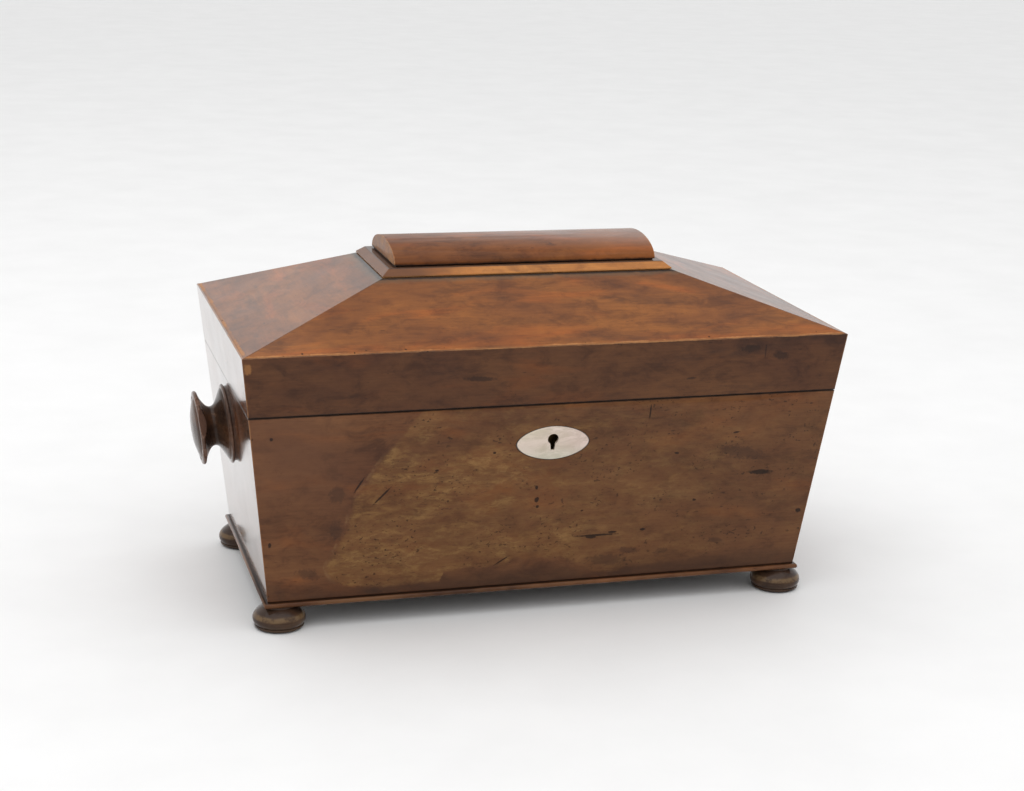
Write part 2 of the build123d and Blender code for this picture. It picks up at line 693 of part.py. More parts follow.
with BuildPart() as link_plate:
    with Locations((KEY_X, SELVEDGE_BACK, LID_BOTTOM)):
        Box(2 * SELVEDGE_HALF, SELVEDGE_WIDTH, SELVEDGE, align=(Align.CENTER, Align.MAX, Align.MIN))
    with BuildSketch(Plane.XY.offset(LID_BOTTOM)):
        with Locations(*staple_spots):
            Rectangle(STAPLE_THICK, STAPLE_WIDE)
    extrude(amount=-STAPLE_LONG)
    # the windows that the beaks enter
    with BuildSketch(key_face.offset(-bolt_depth - BOLT_THICK / 2 - REST_GAP)):
        with Locations((0, BEAK_Y)):
            Rectangle(2 * LOCK_HALF, BEAK + 2 * STAPLE_PLAY)
    extrude(amount=BOLT_THICK + 2 * REST_GAP, mode=Mode.SUBTRACT)
    add(screw_holes(link_screw, link_screws_at), mode=Mode.SUBTRACT)
save(link_plate, "link_plate")

with BuildPart() as link_plate_screws:
    add(screws(link_screw, link_screws_at))
save(link_plate_screws, "link_plate_screws")

with BuildPart() as link_space:
    with BuildSketch(Plane((KEY_X, SELVEDGE_BACK, LID_BOTTOM))):
        Rectangle(2 * SELVEDGE_HALF, 2 * SELVEDGE_WIDTH)
    extrude(amount=SELVEDGE)
    add(screw_holes(link_screw, link_screws_at))

# the end hips run over the corners of the front and back boards, which are cut to pass under them
end_hips = [hip_board(SIDES[end], VENEER, 0, HIP_BOARD) for end in ENDS]
above_end_hips = [hip_board(SIDES[end], 0, -HIP_BOARD, HIP_BOARD) for end in ENDS]
rail_cuts = {
    "front": [link_space.part, *end_hips], "back": [hinge_space(1), *end_hips], "left": [], "right": [],
}
rim_cuts = {
    "front": [*end_hips, *above_end_hips], "back": [hinge_space(1), *end_hips, *above_end_hips],
    "left": [], "right": [],
}
rails = {}

for side_name, side in SIDES.items():
    with BuildPart() as lid_rail:
        add(rim_board(side, VENEER, BOARD, HIP_BOARD))
        for cut in rail_cuts[side_name]:
            add(cut, mode=Mode.SUBTRACT)
    save(lid_rail, f"lid_rail_{side_name}")
    rails[side_name] = lid_rail.part
    with BuildPart() as rim_veneer:
        add(rim_board(side, 0, VENEER, 0))
        for cut in rim_cuts[side_name]:
            add(cut, mode=Mode.SUBTRACT)
    save(rim_veneer, f"rim_veneer_{side_name}")
    with BuildPart() as hip_panel:
        add(hip_board(side, VENEER, 0, HIP_BOARD))
    save(hip_panel, f"hip_panel_{side_name}")

with BuildPart() as lid_top_board:
    with BuildSketch(Plane.XY.offset(HIP_Z - HIP_BOARD)):
        Rectangle(2 * HIP_HALF_X, 2 * HIP_HALF_Y)
    extrude(amount=HIP_BOARD)
save(lid_top_board, "lid_top_board")

hip_linings = [hip_board(side, INNER, HIP_BOARD, LINING) for side in SIDES.values()]
with BuildPart() as lid_lining:
    with BuildSketch(Plane.XY.offset(HIP_Z - HIP_BOARD)):
        Rectangle(2 * HIP_HALF_X, 2 * HIP_HALF_Y)
    extrude(amount=-LINING)
    for sheet in hip_linings:
        add(sheet)
    for rail in rails.values():
        add(rail, mode=Mode.SUBTRACT)
save(lid_lining, "lid_lining")

# ------------------------------------------------------------------ plinth and ridge
PLINTH_GAP = 0.4  # the plinth and the ridge each stand on a recessed step, which leaves a dark line
PLINTH_EDGE = 1.0
PLINTH_HEIGHT = 4.2
PLINTH_BEVEL = 4.2
RIDGE_GAP = 0.8
RIDGE_STEP = 0.9
RIDGE_HALF_X = 71.8
RIDGE_HALF_Y = 28.0
RIDGE_HEIGHT = 11.0
plinth_top = HIP_Z + PLINTH_HEIGHT

with BuildPart() as lid_plinth:
    with BuildSketch(Plane.XY.offset(HIP_Z)):
        Rectangle(2 * (HIP_HALF_X - RIDGE_STEP), 2 * (HIP_HALF_Y - RIDGE_STEP))
    extrude(amount=PLINTH_GAP)
    with BuildSketch(Plane.XY.offset(HIP_Z + PLINTH_GAP)):
        Rectangle(2 * HIP_HALF_X, 2 * HIP_HALF_Y)
    extrude(amount=PLINTH_EDGE - PLINTH_GAP)
    with BuildSketch(Plane.XY.offset(HIP_Z + PLINTH_EDGE)):
        Rectangle(2 * HIP_HALF_X, 2 * HIP_HALF_Y)
    with BuildSketch(Plane.XY.offset(plinth_top)):
        Rectangle(2 * (HIP_HALF_X - PLINTH_BEVEL), 2 * (HIP_HALF_Y - PLINTH_BEVEL))
    loft()
save(lid_plinth, "lid_plinth")

with BuildPart() as lid_ridge:
    with BuildSketch(Plane.XY.offset(plinth_top)):
        Rectangle(2 * (RIDGE_HALF_X - RIDGE_STEP), 2 * (RIDGE_HALF_Y - RIDGE_STEP))
    extrude(amount=RIDGE_GAP)
    with BuildSketch(Plane.YZ.offset(-RIDGE_HALF_X)):
        with BuildLine():
            foot_z = plinth_top + RIDGE_GAP
            EllipticalCenterArc(
                (0, foot_z), RIDGE_HALF_Y, RIDGE_HEIGHT - RIDGE_GAP, start_angle=0, arc_size=180
            )
            Line((-RIDGE_HALF_Y, foot_z), (RIDGE_HALF_Y, foot_z))
        make_face()
    extrude(amount=2 * RIDGE_HALF_X)
save(lid_ridge, "lid_ridge")
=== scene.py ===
"""Finishes, light and camera for the sarcophagus tea caddy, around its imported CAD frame.

Lengths in the finishes are millimetres in the row frame; the meshes and the scene are in metres.
"""

import math

import bpy
from mathutils import Matrix, Vector, noise


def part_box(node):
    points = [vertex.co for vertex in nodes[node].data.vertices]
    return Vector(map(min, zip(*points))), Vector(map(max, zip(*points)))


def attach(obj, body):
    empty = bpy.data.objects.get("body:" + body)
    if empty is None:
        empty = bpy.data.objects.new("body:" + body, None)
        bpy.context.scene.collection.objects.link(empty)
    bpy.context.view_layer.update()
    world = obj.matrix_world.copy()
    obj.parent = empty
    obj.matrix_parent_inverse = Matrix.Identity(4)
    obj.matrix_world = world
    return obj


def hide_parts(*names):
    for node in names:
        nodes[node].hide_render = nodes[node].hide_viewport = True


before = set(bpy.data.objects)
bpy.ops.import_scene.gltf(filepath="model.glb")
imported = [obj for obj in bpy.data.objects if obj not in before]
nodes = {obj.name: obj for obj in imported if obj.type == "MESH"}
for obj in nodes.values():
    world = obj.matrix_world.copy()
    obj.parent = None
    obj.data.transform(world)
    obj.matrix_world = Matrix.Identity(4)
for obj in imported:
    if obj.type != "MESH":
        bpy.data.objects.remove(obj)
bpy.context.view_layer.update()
MM = 0.001


def corners(node):
    """The lowest and highest corner of a CAD node, in millimetres."""
    low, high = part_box(node)
    return low / MM, high / MM


def rgb(red, green, blue):
    """A screen colour, 0 to 255, as the linear colour that the shader takes."""
    parts = [c / 255 for c in (red, green, blue)]
    return (*[c / 12.92 if c <= 0.04045 else ((c + 0.055) / 1.055) ** 2.4 for c in parts], 1.0)


class Paint:
    """A material with short calls for the nodes that the finishes share."""

    def __init__(self, name):
        self.material = bpy.data.materials.new(name)
        self.material.use_nodes = True
        self.tree = self.material.node_tree
        self.shader = self.tree.nodes["Principled BSDF"]
        place = self.add("ShaderNodeTexCoord").outputs["Object"]
        self.place = self.at(scale=(1 / MM,) * 3, start=place)
        split = self.add("ShaderNodeSeparateXYZ")
        self.feed(split.inputs[0], self.place)
        self.x, self.y, self.z = split.outputs

    def add(self, kind, **settings):
        node = self.tree.nodes.new(kind)
        for key, value in settings.items():
            setattr(node, key, value)
        return node

    def feed(self, socket, value):
        if isinstance(value, bpy.types.NodeSocket):
            self.tree.links.new(value, socket)
        else:
            socket.default_value = value

    def at(self, scale=(1, 1, 1), move=(0, 0, 0), turn=(0, 0, 0), start=None):
        """The place, scaled, turned and moved."""
        node = self.add("ShaderNodeMapping")
        self.feed(node.inputs["Vector"], self.place if start is None else start)
        node.inputs["Scale"].default_value = scale
        node.inputs["Rotation"].default_value = [math.radians(a) for a in turn]
        node.inputs["Location"].default_value = move
        return node.outputs[0]

    def maths(self, operation, *values, clamp=False):
        node = self.add("ShaderNodeMath", operation=operation, use_clamp=clamp)
        for socket, value in zip(node.inputs, values):
            self.feed(socket, value)
        return node.outputs[0]

    def times(self, *values):
        result = values[0]
        for value in values[1:]:
            result = self.maths("MULTIPLY", result, value)
        return result

    def plus(self, *values):
        result = values[0]
        for value in values[1:]:
            result = self.maths("ADD", result, value)
        return result

    def line(self, slope, value, start=0.0):
        """slope * value + start."""
        return self.maths("MULTIPLY_ADD", value, slope, start)

    def level(self, value, low, high):
        """0 below low and 1 above high, smooth between; low above high turns it round."""
        node = self.add("ShaderNodeMapRange", interpolation_type="SMOOTHSTEP")
        self.feed(node.inputs["Value"], value)
        self.feed(node.inputs["From Min"], min(low, high))
        self.feed(node.inputs["From Max"], max(low, high))
        node.inputs["To Min"].default_value = float(low > high)
        node.inputs["To Max"].default_value = float(low < high)
        return node.outputs[0]

    def noise(
        self, size, stretch=(1, 1, 1), detail=4.0, rough=0.55, warp=0.0, turn=(0, 0, 0), seed=0, start=None
    ):
        """Cloudy noise, 0 to 1 about 0.5, with features of about size millimetres times stretch."""
        scale = [1 / (size * s) for s in stretch]
        node = self.add("ShaderNodeTexNoise")
        move = (seed * 7.13, seed * 3.77, seed * 5.31)
        self.feed(node.inputs["Vector"], self.at(scale=scale, move=move, turn=turn, start=start))
        node.inputs["Scale"].default_value = 1.0
        node.inputs["Detail"].default_value = detail
        node.inputs["Roughness"].default_value = rough
        node.inputs["Distortion"].default_value = warp
        return node.outputs[0]

    def cells(self, size, stretch=(1, 1, 1), turn=(0, 0, 0), seed=0):
        """The distance to the nearest of many scattered points, in cell sizes."""
        node = self.add("ShaderNodeTexVoronoi")
        scale = [1 / (size * s) for s in stretch]
        move = (seed * 5.9, seed * 2.3, seed * 8.1)
        self.feed(node.inputs["Vector"], self.at(scale=scale, move=move, turn=turn))
        node.inputs["Scale"].default_value = 1.0
        return node.outputs["Distance"]

    def mix(self, factor, first, second, blend="MIX"):
        node = self.add("ShaderNodeMix", data_type="RGBA", blend_type=blend)
        self.feed(node.inputs[0], factor)
        self.feed(node.inputs[6], first)
        self.feed(node.inputs[7], second)
        return node.outputs[2]

    def ramp(self, value, *stops):
        node = self.add("ShaderNodeValToRGB")
        elements = node.color_ramp.elements
        while len(elements) < len(stops):
            elements.new(0.5)
        for element, (position, colour) in zip(elements, stops):
            element.position = position
            element.color = colour
        self.feed(node.inputs[0], value)
        return node.outputs[0]

    def curve(self, value, low, high, bottom, top, points):
        """A line through (in, out) points, with in from low to high and out from bottom to top."""
        node = self.add("ShaderNodeFloatCurve")
        line = node.mapping.curves[0]
        while len(line.points) < len(points):
            line.points.new(0.5, 0.5)
        for point, (a, b) in zip(line.points, points):
            point.location = ((a - low) / (high - low), (b - bottom) / (top - bottom))
            point.handle_type = "VECTOR"
        node.mapping.update()
        share = self.line(1 / (high - low), value, -low / (high - low))
        self.feed(node.inputs["Value"], share)
        return self.line(top - bottom, node.outputs[0], bottom)

    def spot(self, x, z, half_x, half_z, turn=0.0, ragged=0.35):
        """1 inside an oval on the front, with a ragged edge."""
        moved = self.at(move=(-x, 0, -z))
        turned = self.at(turn=(0, -turn, 0), scale=(1, 0, 1), start=moved)
        squeezed = self.at(scale=(1 / half_x, 0, 1 / half_z), start=turned)
        length = self.add("ShaderNodeVectorMath", operation="LENGTH")
        self.feed(length.inputs[0], squeezed)
        edge = self.line(ragged * 2, self.noise(1.6, detail=3, seed=x), -ragged)
        return self.level(self.plus(length.outputs["Value"], edge), 1.1, 0.6)

    def spots(self, places, ragged):
        """1 inside any of the ovals."""
        found = None
        for place in places:
            spot = self.spot(*place, ragged=ragged)
            found = spot if found is None else self.maths("MAXIMUM", found, spot)
        return found

    def bump(self, height, strength, depth, after=None):
        """Relief of depth millimetres."""
        node = self.add("ShaderNodeBump")
        node.inputs["Strength"].default_value = strength
        node.inputs["Distance"].default_value = depth * MM
        self.feed(node.inputs["Height"], height)
        if after is not None:
            self.feed(node.inputs["Normal"], after)
        return node.outputs[0]

    def finish(self, colour, rough, normal=None, **sockets):
        self.feed(self.shader.inputs["Base Color"], colour)
        self.feed(self.shader.inputs["Roughness"], rough)
        if normal is not None:
            self.feed(self.shader.inputs["Normal"], normal)
        for name, value in sockets.items():
            self.feed(self.shader.inputs[name.replace("_", " ")], value)
        return self.material


# ------------------------------------------------------------------- sizes read from the frame
case_low, case_high = corners("front_veneer")
end_low, end_high = corners("left_veneer")
rim_low, rim_high = corners("rim_veneer_front")
rim_end_low, rim_end_high = corners("rim_veneer_left")
seam_z = (case_high.z + rim_low.z) / 2
slope_x = (rim_high.x - case_high.x) / (rim_high.z - case_high.z)
slope_y = (rim_end_high.y - end_high.y) / (rim_high.z - case_high.z)
plinth_low, plinth_high = corners("lid_plinth")
ridge_low, ridge_high = corners("lid_ridge")
escutcheon_low, escutcheon_high = corners("keyhole_escutcheon")
foot_low, foot_high = corners("bun_foot_front_left")


def to_corner(paint, end):
    """Distance in from the upright corner of a wall, along the wall."""
    if end:
        reach = paint.line(slope_y, paint.z, end_high.y - slope_y * end_high.z)
        return paint.maths("SUBTRACT", reach, paint.maths("ABSOLUTE", paint.y))
    reach = paint.line(slope_x, paint.z, case_high.x - slope_x * case_high.z)
    return paint.maths("SUBTRACT", reach, paint.maths("ABSOLUTE", paint.x))


# --------------------------------------------------------------------------------- the woods
COAT_GLOSS = 0.09
COAT_IOR = 1.27
WHITE = (1.0, 1.0, 1.0, 1.0)


def tint(tone, *factors):
    """A screen colour scaled by one factor, or by one for each part."""
    scales = factors * 3 if len(factors) == 1 else factors
    return rgb(*[min(255, c * k) for c, k in zip(tone, scales)])


def veneer(paint, tones, end=False, seed=0, smoky=0.6, upright=1.0):
    """Mottled mahogany: clouds, smoky streaks, fine grain and small dark flecks.

    Returns its colour and a height for the relief.
    """
    long, across = (1, 3.2) if end else (3.2, 1)
    dark, middle, light = (rgb(*tone) for tone in tones)
    drift = paint.noise(120, (long, across, upright), detail=2, seed=seed + 11)
    broad = (1 + long * 0.35, 1 + across * 0.35, upright)
    cloud = paint.noise(46, broad, detail=5, rough=0.6, warp=0.9, seed=seed)
    cloud = paint.plus(cloud, paint.line(0.5, drift, -0.25))
    colour = paint.ramp(cloud, (0.28, dark), (0.5, middle), (0.74, light))
    drawn = (long, across, upright * 0.8)
    smoke = paint.noise(15, drawn, detail=6, rough=0.62, warp=0.5, turn=(0, 9, 0), seed=seed + 3)
    smoke = paint.times(paint.level(smoke, 0.5, 0.75), smoky)
    colour = paint.mix(smoke, colour, tint(tones[0], 0.74, 0.8, 0.95))
    ember = paint.noise(22, (long, across, upright), detail=4, warp=0.8, seed=seed + 5)
    ember = paint.level(ember, 0.5, 0.74)
    colour = paint.mix(paint.times(ember, 0.5), colour, tint(tones[2], 1.16, 1.0, 0.82))
    soft = (1 + long * 0.3, 1 + across * 0.3, upright)
    mottle = paint.noise(8, soft, detail=6, rough=0.68, warp=0.5, seed=seed + 15)
    mottled = paint.ramp(
        mottle, (0.34, rgb(188, 182, 186)), (0.5, rgb(238, 234, 230)), (0.66, (1.0, 0.98, 0.9, 1.0))
    )
    colour = paint.mix(0.85, colour, mottled, "MULTIPLY")
    specks = paint.noise(1.9, (*soft[:2], 0.7), detail=3, rough=0.7, seed=seed + 17)
    specks = paint.level(specks, 0.6, 0.74)
    colour = paint.mix(paint.times(specks, 0.3), colour, tint(tones[0], 0.7))
    grain = paint.noise(0.9, (long * 7, across * 7, upright), detail=3, rough=0.6, warp=0.2, seed=seed + 7)
    lined = paint.ramp(grain, (0.25, rgb(150, 140, 132)), (0.75, WHITE))
    colour = paint.mix(0.3, colour, lined, "MULTIPLY")
    short = (long * 0.9, across * 0.9, upright * 0.45)
    fleck = paint.level(paint.noise(2.1, short, detail=2, turn=(0, 4, 0), seed=seed + 9), 0.68, 0.76)
    clump = paint.level(paint.noise(30, detail=3, seed=seed + 13), 0.42, 0.62)
    fleck = paint.times(fleck, clump, 0.75)
    colour = paint.mix(fleck, colour, tint(tones[0], 0.38))
    height = paint.plus(paint.times(grain, 0.35), paint.times(fleck, -0.8), paint.times(mottle, 0.4))
    return colour, height


def wear(paint, colour, corner, seed=0, pale=(168, 122, 82)):
    """Rubbed, paler wood in broken stretches along an arris, with a dark dint here and there.

    Returns the colour and where the polish is worn.
    """
    broken = paint.level(paint.noise(26, detail=6, rough=0.7, seed=seed + 21), 0.4, 0.62)
    broken = paint.line(0.75, broken, 0.2)
    reach = paint.line(0.9, paint.noise(4.5, detail=4, rough=0.65, seed=seed + 23), -0.05)
    rubbed = paint.times(paint.level(paint.maths("SUBTRACT", corner, reach), 0.12, -0.12), broken)
    colour = paint.mix(paint.times(rubbed, 0.7), colour, rgb(*pale))
    dints = paint.level(paint.noise(3.2, detail=2, seed=seed + 27), 0.68, 0.74)
    dints = paint.times(dints, paint.level(corner, 2.2, 0.4))
    return paint.mix(paint.times(dints, 0.9), colour, rgb(34, 22, 16)), paint.plus(rubbed, dints)


def grime_and_shade(paint, colour, distance, reach, strength=0.8, tone=(22, 14, 10)):
    """Darkening along a joint, thinning out with distance from it: dirt held in the joint, and at some
    joints painted shade.
    """
    uneven = paint.line(reach * 0.9, paint.noise(5, detail=4, seed=31), -reach * 0.45)
    dirt = paint.level(paint.plus(distance, uneven), reach, reach * 0.3)
    return paint.mix(paint.times(dirt, strength), colour, rgb(*tone))


def polished(
    paint, colour, height, rough=0.42, depth=0.05, coat=0.85, worn=None, ripple=0.35, shine=0.05
):
    """French polish: satin wood under a clear, slightly uneven coat."""
    patchy = paint.noise(24, detail=5, rough=0.6, seed=41)
    roughness = paint.line(0.3, patchy, rough - 0.15)
    if worn is not None:
        roughness = paint.plus(roughness, paint.times(worn, 0.25))
        coat = paint.maths("SUBTRACT", coat, paint.times(worn, coat * 0.6), clamp=True)
    waves = paint.noise(7, detail=2, seed=43)
    normal = paint.bump(waves, ripple, 0.02)
    normal = paint.bump(height, 0.5, depth, after=normal)
    return paint.finish(
        colour, roughness, normal, Specular_IOR_Level=shine,
        Coat_Weight=coat, Coat_Roughness=COAT_GLOSS, Coat_IOR=COAT_IOR,
    )


WALL_TONES = ((98, 63, 44), (112, 74, 49), (127, 86, 56))
BAND_TONES = ((82, 50, 35), (97, 62, 40), (112, 74, 46))
HIP_TONES = ((100, 58, 33), (134, 80, 38), (162, 100, 44))
END_TONES = ((92, 56, 38), (118, 76, 50), (138, 92, 62))
SOLID_TONES = ((62, 38, 26), (92, 59, 38), (124, 80, 50))
RIDGE_TONES = ((88, 49, 23), (121, 70, 33), (150, 91, 41))
PLINTH_TONES = ((132, 82, 42), (180, 116, 58), (204, 138, 72))
FOOT_TONES = ((46, 32, 26), (72, 54, 44), (94, 74, 56))
KNOB_TONES = ((44, 32, 26), (70, 52, 42), (98, 76, 62))
END_POLISH = {"rough": 0.2, "depth": 0.015, "coat": 1.0, "ripple": 0.12, "shine": 0.5}


def wall(name, end, seed):
    """The back and the ends of the case."""
    paint = Paint(name)
    colour, height = veneer(paint, END_TONES if end else WALL_TONES, end, seed)
    corner = to_corner(paint, end)
    colour, worn = wear(paint, colour, corner, seed)
    colour = grime_and_shade(paint, colour, paint.maths("SUBTRACT", paint.z, case_low.z), 2.4, 0.6)
    colour = grime_and_shade(paint, colour, paint.maths("SUBTRACT", case_high.z, paint.z), 0.9, 0.8)
    if end:
        return polished(paint, colour, height, worn=worn, **END_POLISH)
    return polished(paint, colour, height, worn=worn)


# the rubbed patch's left edge as (z, x) and its bottom edge as (x, z)
PATCH_LEFT = (
    (10, -96), (20, -102), (23, -111), (32, -118), (40, -114), (54, -106.5), (70.5, -103.5), (86, -94),
    (102, -82), (120, -68),
)
PATCH_BOTTOM = (
    (-130, 34), (-118, 32), (-111, 23), (-102, 20), (-76, 19), (-55, 19.5), (-54, 26), (-23, 27), (-17, 30),
    (10, 28), (33, 18), (84, 22), (107, 29), (150, 34),
)
# ovals on the front: x, z, half width, half height, turn
MARKS = (
    (-6, 71, 1.0, 1.2, 0), (-5.5, 64, 1.4, 1.8, 0), (-5, 60, 1.0, 1.0, 0), (29, 41, 13, 0.7, 0),
    (26, 40.2, 3.4, 1.2, 6), (38, 42.2, 2.6, 0.8, 0), (55, 42.6, 1.6, 0.8, 0), (83, 58, 1.2, 0.8, 0),
    (119.5, 72, 7.5, 1.6, 3), (144.5, 47.5, 1.8, 1.4, 0), (53, 110.5, 0.5, 4.5, 2),
    (-100, 78.5, 0.6, 5.4, 32), (-88, 71.7, 0.6, 7.0, 44), (-22.5, 30, 0.5, 5.4, 58),
    (-145, 48, 1.0, 1.8, 0), (-145, 106, 1.0, 1.0, 0), (20, 56, 1.0, 0.6, 0), (-60, 84, 1.2, 0.6, 0),
    (70, 86, 1.6, 0.7, 10), (103, 96, 2.2, 0.6, -5), (-30, 92, 1.0, 0.7, 0),
)
STAINS = (
    (48, 30.6, 6, 2.2, 8), (67, 29, 5, 1.8, -6), (98, 33, 5, 1.6, 10), (-111, 74, 4.5, 5.5, 0),
    (-111, 54, 4, 6.5, 0), (-91, 18, 5.5, 2.0, 0), (-125, 30, 7, 3, 20), (36, 26, 12, 3.5, 4),
    (108, 84, 14, 4, 12),
)
BAND_STAINS = (
    (106, 143, 6, 2.2, 0), (123, 138.5, 5, 2.6, 14), (114, 141.5, 0.5, 4.6, 0), (74, 128, 3, 0.7, -6),
    (-40, 133, 9, 1.6, 4),
)
RIM_CHIP = (-157.0, 143.4, 2.2, 3.2, 0)


def rubbed_patch(paint, colour):
    """The bleached patch on the front, with a pale rim on its left and small scuffs.

    Returns the colour, the strength of the patch and its plain outline.
    """
    warp = paint.line(16, paint.noise(9, detail=4, rough=0.62, seed=51), -8)
    left = paint.curve(paint.z, 10, 120, -130, -40, PATCH_LEFT)
    bottom = paint.curve(paint.x, -130, 150, 0, 60, PATCH_BOTTOM)
    from_left = paint.maths("SUBTRACT", paint.plus(paint.x, paint.times(warp, 0.35)), left)
    inside = paint.level(from_left, 0.0, 3.0)
    from_bottom = paint.maths("SUBTRACT", paint.plus(paint.z, paint.times(warp, 0.4)), bottom)
    inside = paint.times(inside, paint.level(from_bottom, -0.5, 2.5))
    to_right = paint.level(paint.plus(paint.x, paint.times(warp, 4.0)), -20, 135)
    to_top = paint.level(paint.plus(paint.z, paint.times(warp, 1.6)), 84, 118)
    mottle = paint.noise(24, (2.2, 1, 1), detail=6, rough=0.64, warp=0.8, seed=53)
    mottle = paint.line(0.5, paint.level(mottle, 0.36, 0.62), 0.5)
    patch = paint.times(inside, paint.line(-0.75, to_right, 1.0), paint.line(-0.55, to_top, 1.0), mottle)
    bleached = paint.noise(12, (2.4, 1, 1), detail=6, rough=0.66, warp=0.6, seed=55)
    bleached = paint.ramp(
        bleached, (0.34, rgb(100, 66, 42)), (0.5, rgb(124, 89, 54)), (0.66, rgb(150, 114, 70))
    )
    stipple = paint.noise(4.5, (1.9, 1, 0.8), detail=6, rough=0.72, warp=0.5, seed=54)
    stipple = paint.line(0.62, paint.level(stipple, 0.4, 0.64), 0.3)
    colour = paint.mix(paint.times(patch, stipple), colour, bleached)
    rim = paint.times(paint.level(from_left, -1.4, 0.0), paint.level(from_left, 2.2, 0.2))
    rim = paint.times(rim, paint.level(paint.z, 20, 30), paint.level(paint.z, 100, 84))
    rim = paint.times(rim, paint.level(paint.noise(8, detail=5, rough=0.7, seed=59), 0.42, 0.62))
    colour = paint.mix(paint.times(rim, 0.3), colour, rgb(150, 116, 78))
    scuffs = paint.noise(1.3, (4.5, 1, 0.8), detail=5, rough=0.74, turn=(0, 8, 0), seed=57)
    scuffs = paint.times(paint.level(scuffs, 0.56, 0.66), paint.line(0.7, patch, 0.3), 0.62)
    return paint.mix(scuffs, colour, rgb(72, 47, 34)), patch, inside


def front_wall():
    """The front of the case: a rubbed, sun-bleached patch, and the knocks and stains of use."""
    paint = Paint("veneer_case_front")
    colour, height = veneer(paint, WALL_TONES, False, 2, smoky=0.4)
    fresh = paint.times(paint.level(paint.x, -92, -128), paint.level(paint.z, 58, 88))
    colour = paint.mix(paint.times(fresh, 0.3), colour, rgb(134, 92, 64))
    shade = paint.times(paint.level(paint.x, 10, 90), 0.16)
    colour = paint.mix(shade, colour, rgb(58, 36, 26))
    colour, patch, inside = rubbed_patch(paint, colour)
    dark = paint.spots(MARKS, 0.45)
    smudge = paint.spots(STAINS, 0.8)
    colour = paint.mix(paint.times(smudge, 0.46), colour, rgb(60, 41, 32))
    pits = paint.noise(1.6, (1.3, 1, 0.9), detail=2, rough=0.5, seed=77)
    clump = paint.level(paint.noise(14, (1.6, 1, 1), detail=3, seed=79), 0.46, 0.6)
    pits = paint.times(paint.level(pits, 0.62, 0.67), clump, paint.line(0.6, inside, 0.2))
    colour = paint.mix(paint.times(pits, 0.85), colour, rgb(42, 29, 21))
    colour = paint.mix(paint.times(dark, 0.85), colour, rgb(26, 17, 13))
    colour, worn = wear(paint, colour, to_corner(paint, False), 2)
    above = paint.maths("SUBTRACT", paint.z, case_low.z)
    below_patch = paint.line(-1.0, patch, 1.0)
    soiled = paint.times(paint.level(above, 14, 3), below_patch, 0.55)
    colour = paint.mix(soiled, colour, rgb(62, 43, 32))
    colour = grime_and_shade(paint, colour, above, 0.7, 0.8)
    colour = grime_and_shade(paint, colour, paint.maths("SUBTRACT", case_high.z, paint.z), 0.8, 0.88)
    dull = paint.maths("MAXIMUM", worn, paint.times(patch, 0.5))
    return polished(paint, colour, height, rough=0.46, worn=dull, coat=0.7)


def band(name, end, seed):
    """A rim veneer of the lid, darker than the case."""
    paint = Paint(name)
    colour, height = veneer(paint, END_TONES if end else BAND_TONES, end, seed, smoky=0.75)
    if not end:
        stains = paint.times(paint.spots(BAND_STAINS, 0.6), 0.6, paint.level(paint.y, 0, -1))
        colour = paint.mix(stains, colour, rgb(34, 22, 18))
    corner = to_corner(paint, end)
    colour, worn = wear(paint, colour, corner, seed)
    top = paint.maths("SUBTRACT", rim_high.z, paint.z)
    colour, worn_top = wear(paint, colour, top, seed + 2, pale=(176, 124, 78))
    chip = paint.times(paint.spot(*RIM_CHIP, ragged=0.6), paint.level(paint.y, -60, -70))
    colour = paint.mix(paint.times(chip, 0.8), colour, rgb(146, 100, 58))
    colour = grime_and_shade(paint, colour, paint.maths("SUBTRACT", paint.z, rim_low.z), 0.7, 0.88)
    worn = paint.maths("MAXIMUM", worn, worn_top)
    if end:
        return polished(paint, colour, height, worn=worn, **END_POLISH)
    return polished(paint, colour, height, worn=worn, coat=0.8)


def hip(name, end, seed, coat=0.9):
    """A sloping panel of the lid: warmer and glossier, greyer towards the plinth, with painted shade in the
    joint under it.
    """
    paint = Paint(name)
    colour, height = veneer(paint, HIP_TONES, end, seed, smoky=0.5, upright=0.6)
    low = paint.maths("SUBTRACT", paint.z, rim_high.z)
    colour, worn = wear(paint, colour, low, seed, pale=(190, 134, 84))
    under_plinth = paint.maths("SUBTRACT", plinth_low.z, paint.z)
    # greyer towards the plinth, then a dark line of painted shade in the joint under it
    colour = grime_and_shade(paint, colour, under_plinth, 2.4, 0.5, tone=(86, 76, 60))
    colour = grime_and_shade(paint, colour, under_plinth, 1.0, 0.92)
    return polished(paint, colour, height, rough=0.36, worn=worn, coat=coat)


def ridge_wood():
    """The half-round ridge: reddish, with chipped, paler end edges."""
    paint = Paint("solid_ridge")
    colour, height = veneer(paint, RIDGE_TONES, False, 8, smoky=0.5)
    to_right = paint.level(paint.x, 10, 62)
    colour = paint.mix(paint.times(to_right, 0.26), colour, rgb(178, 106, 50))
    from_end = paint.maths("SUBTRACT", ridge_high.x, paint.maths("ABSOLUTE", paint.x))
    colour, worn = wear(paint, colour, from_end, 8, pale=(186, 140, 100))
    # painted shade: darker along the ridge's foot, where it sits on the plinth
    colour = grime_and_shade(paint, colour, paint.maths("SUBTRACT", paint.z, ridge_low.z), 2.0, 0.95)
    return polished(paint, colour, height, rough=0.4, worn=worn, coat=0.65)


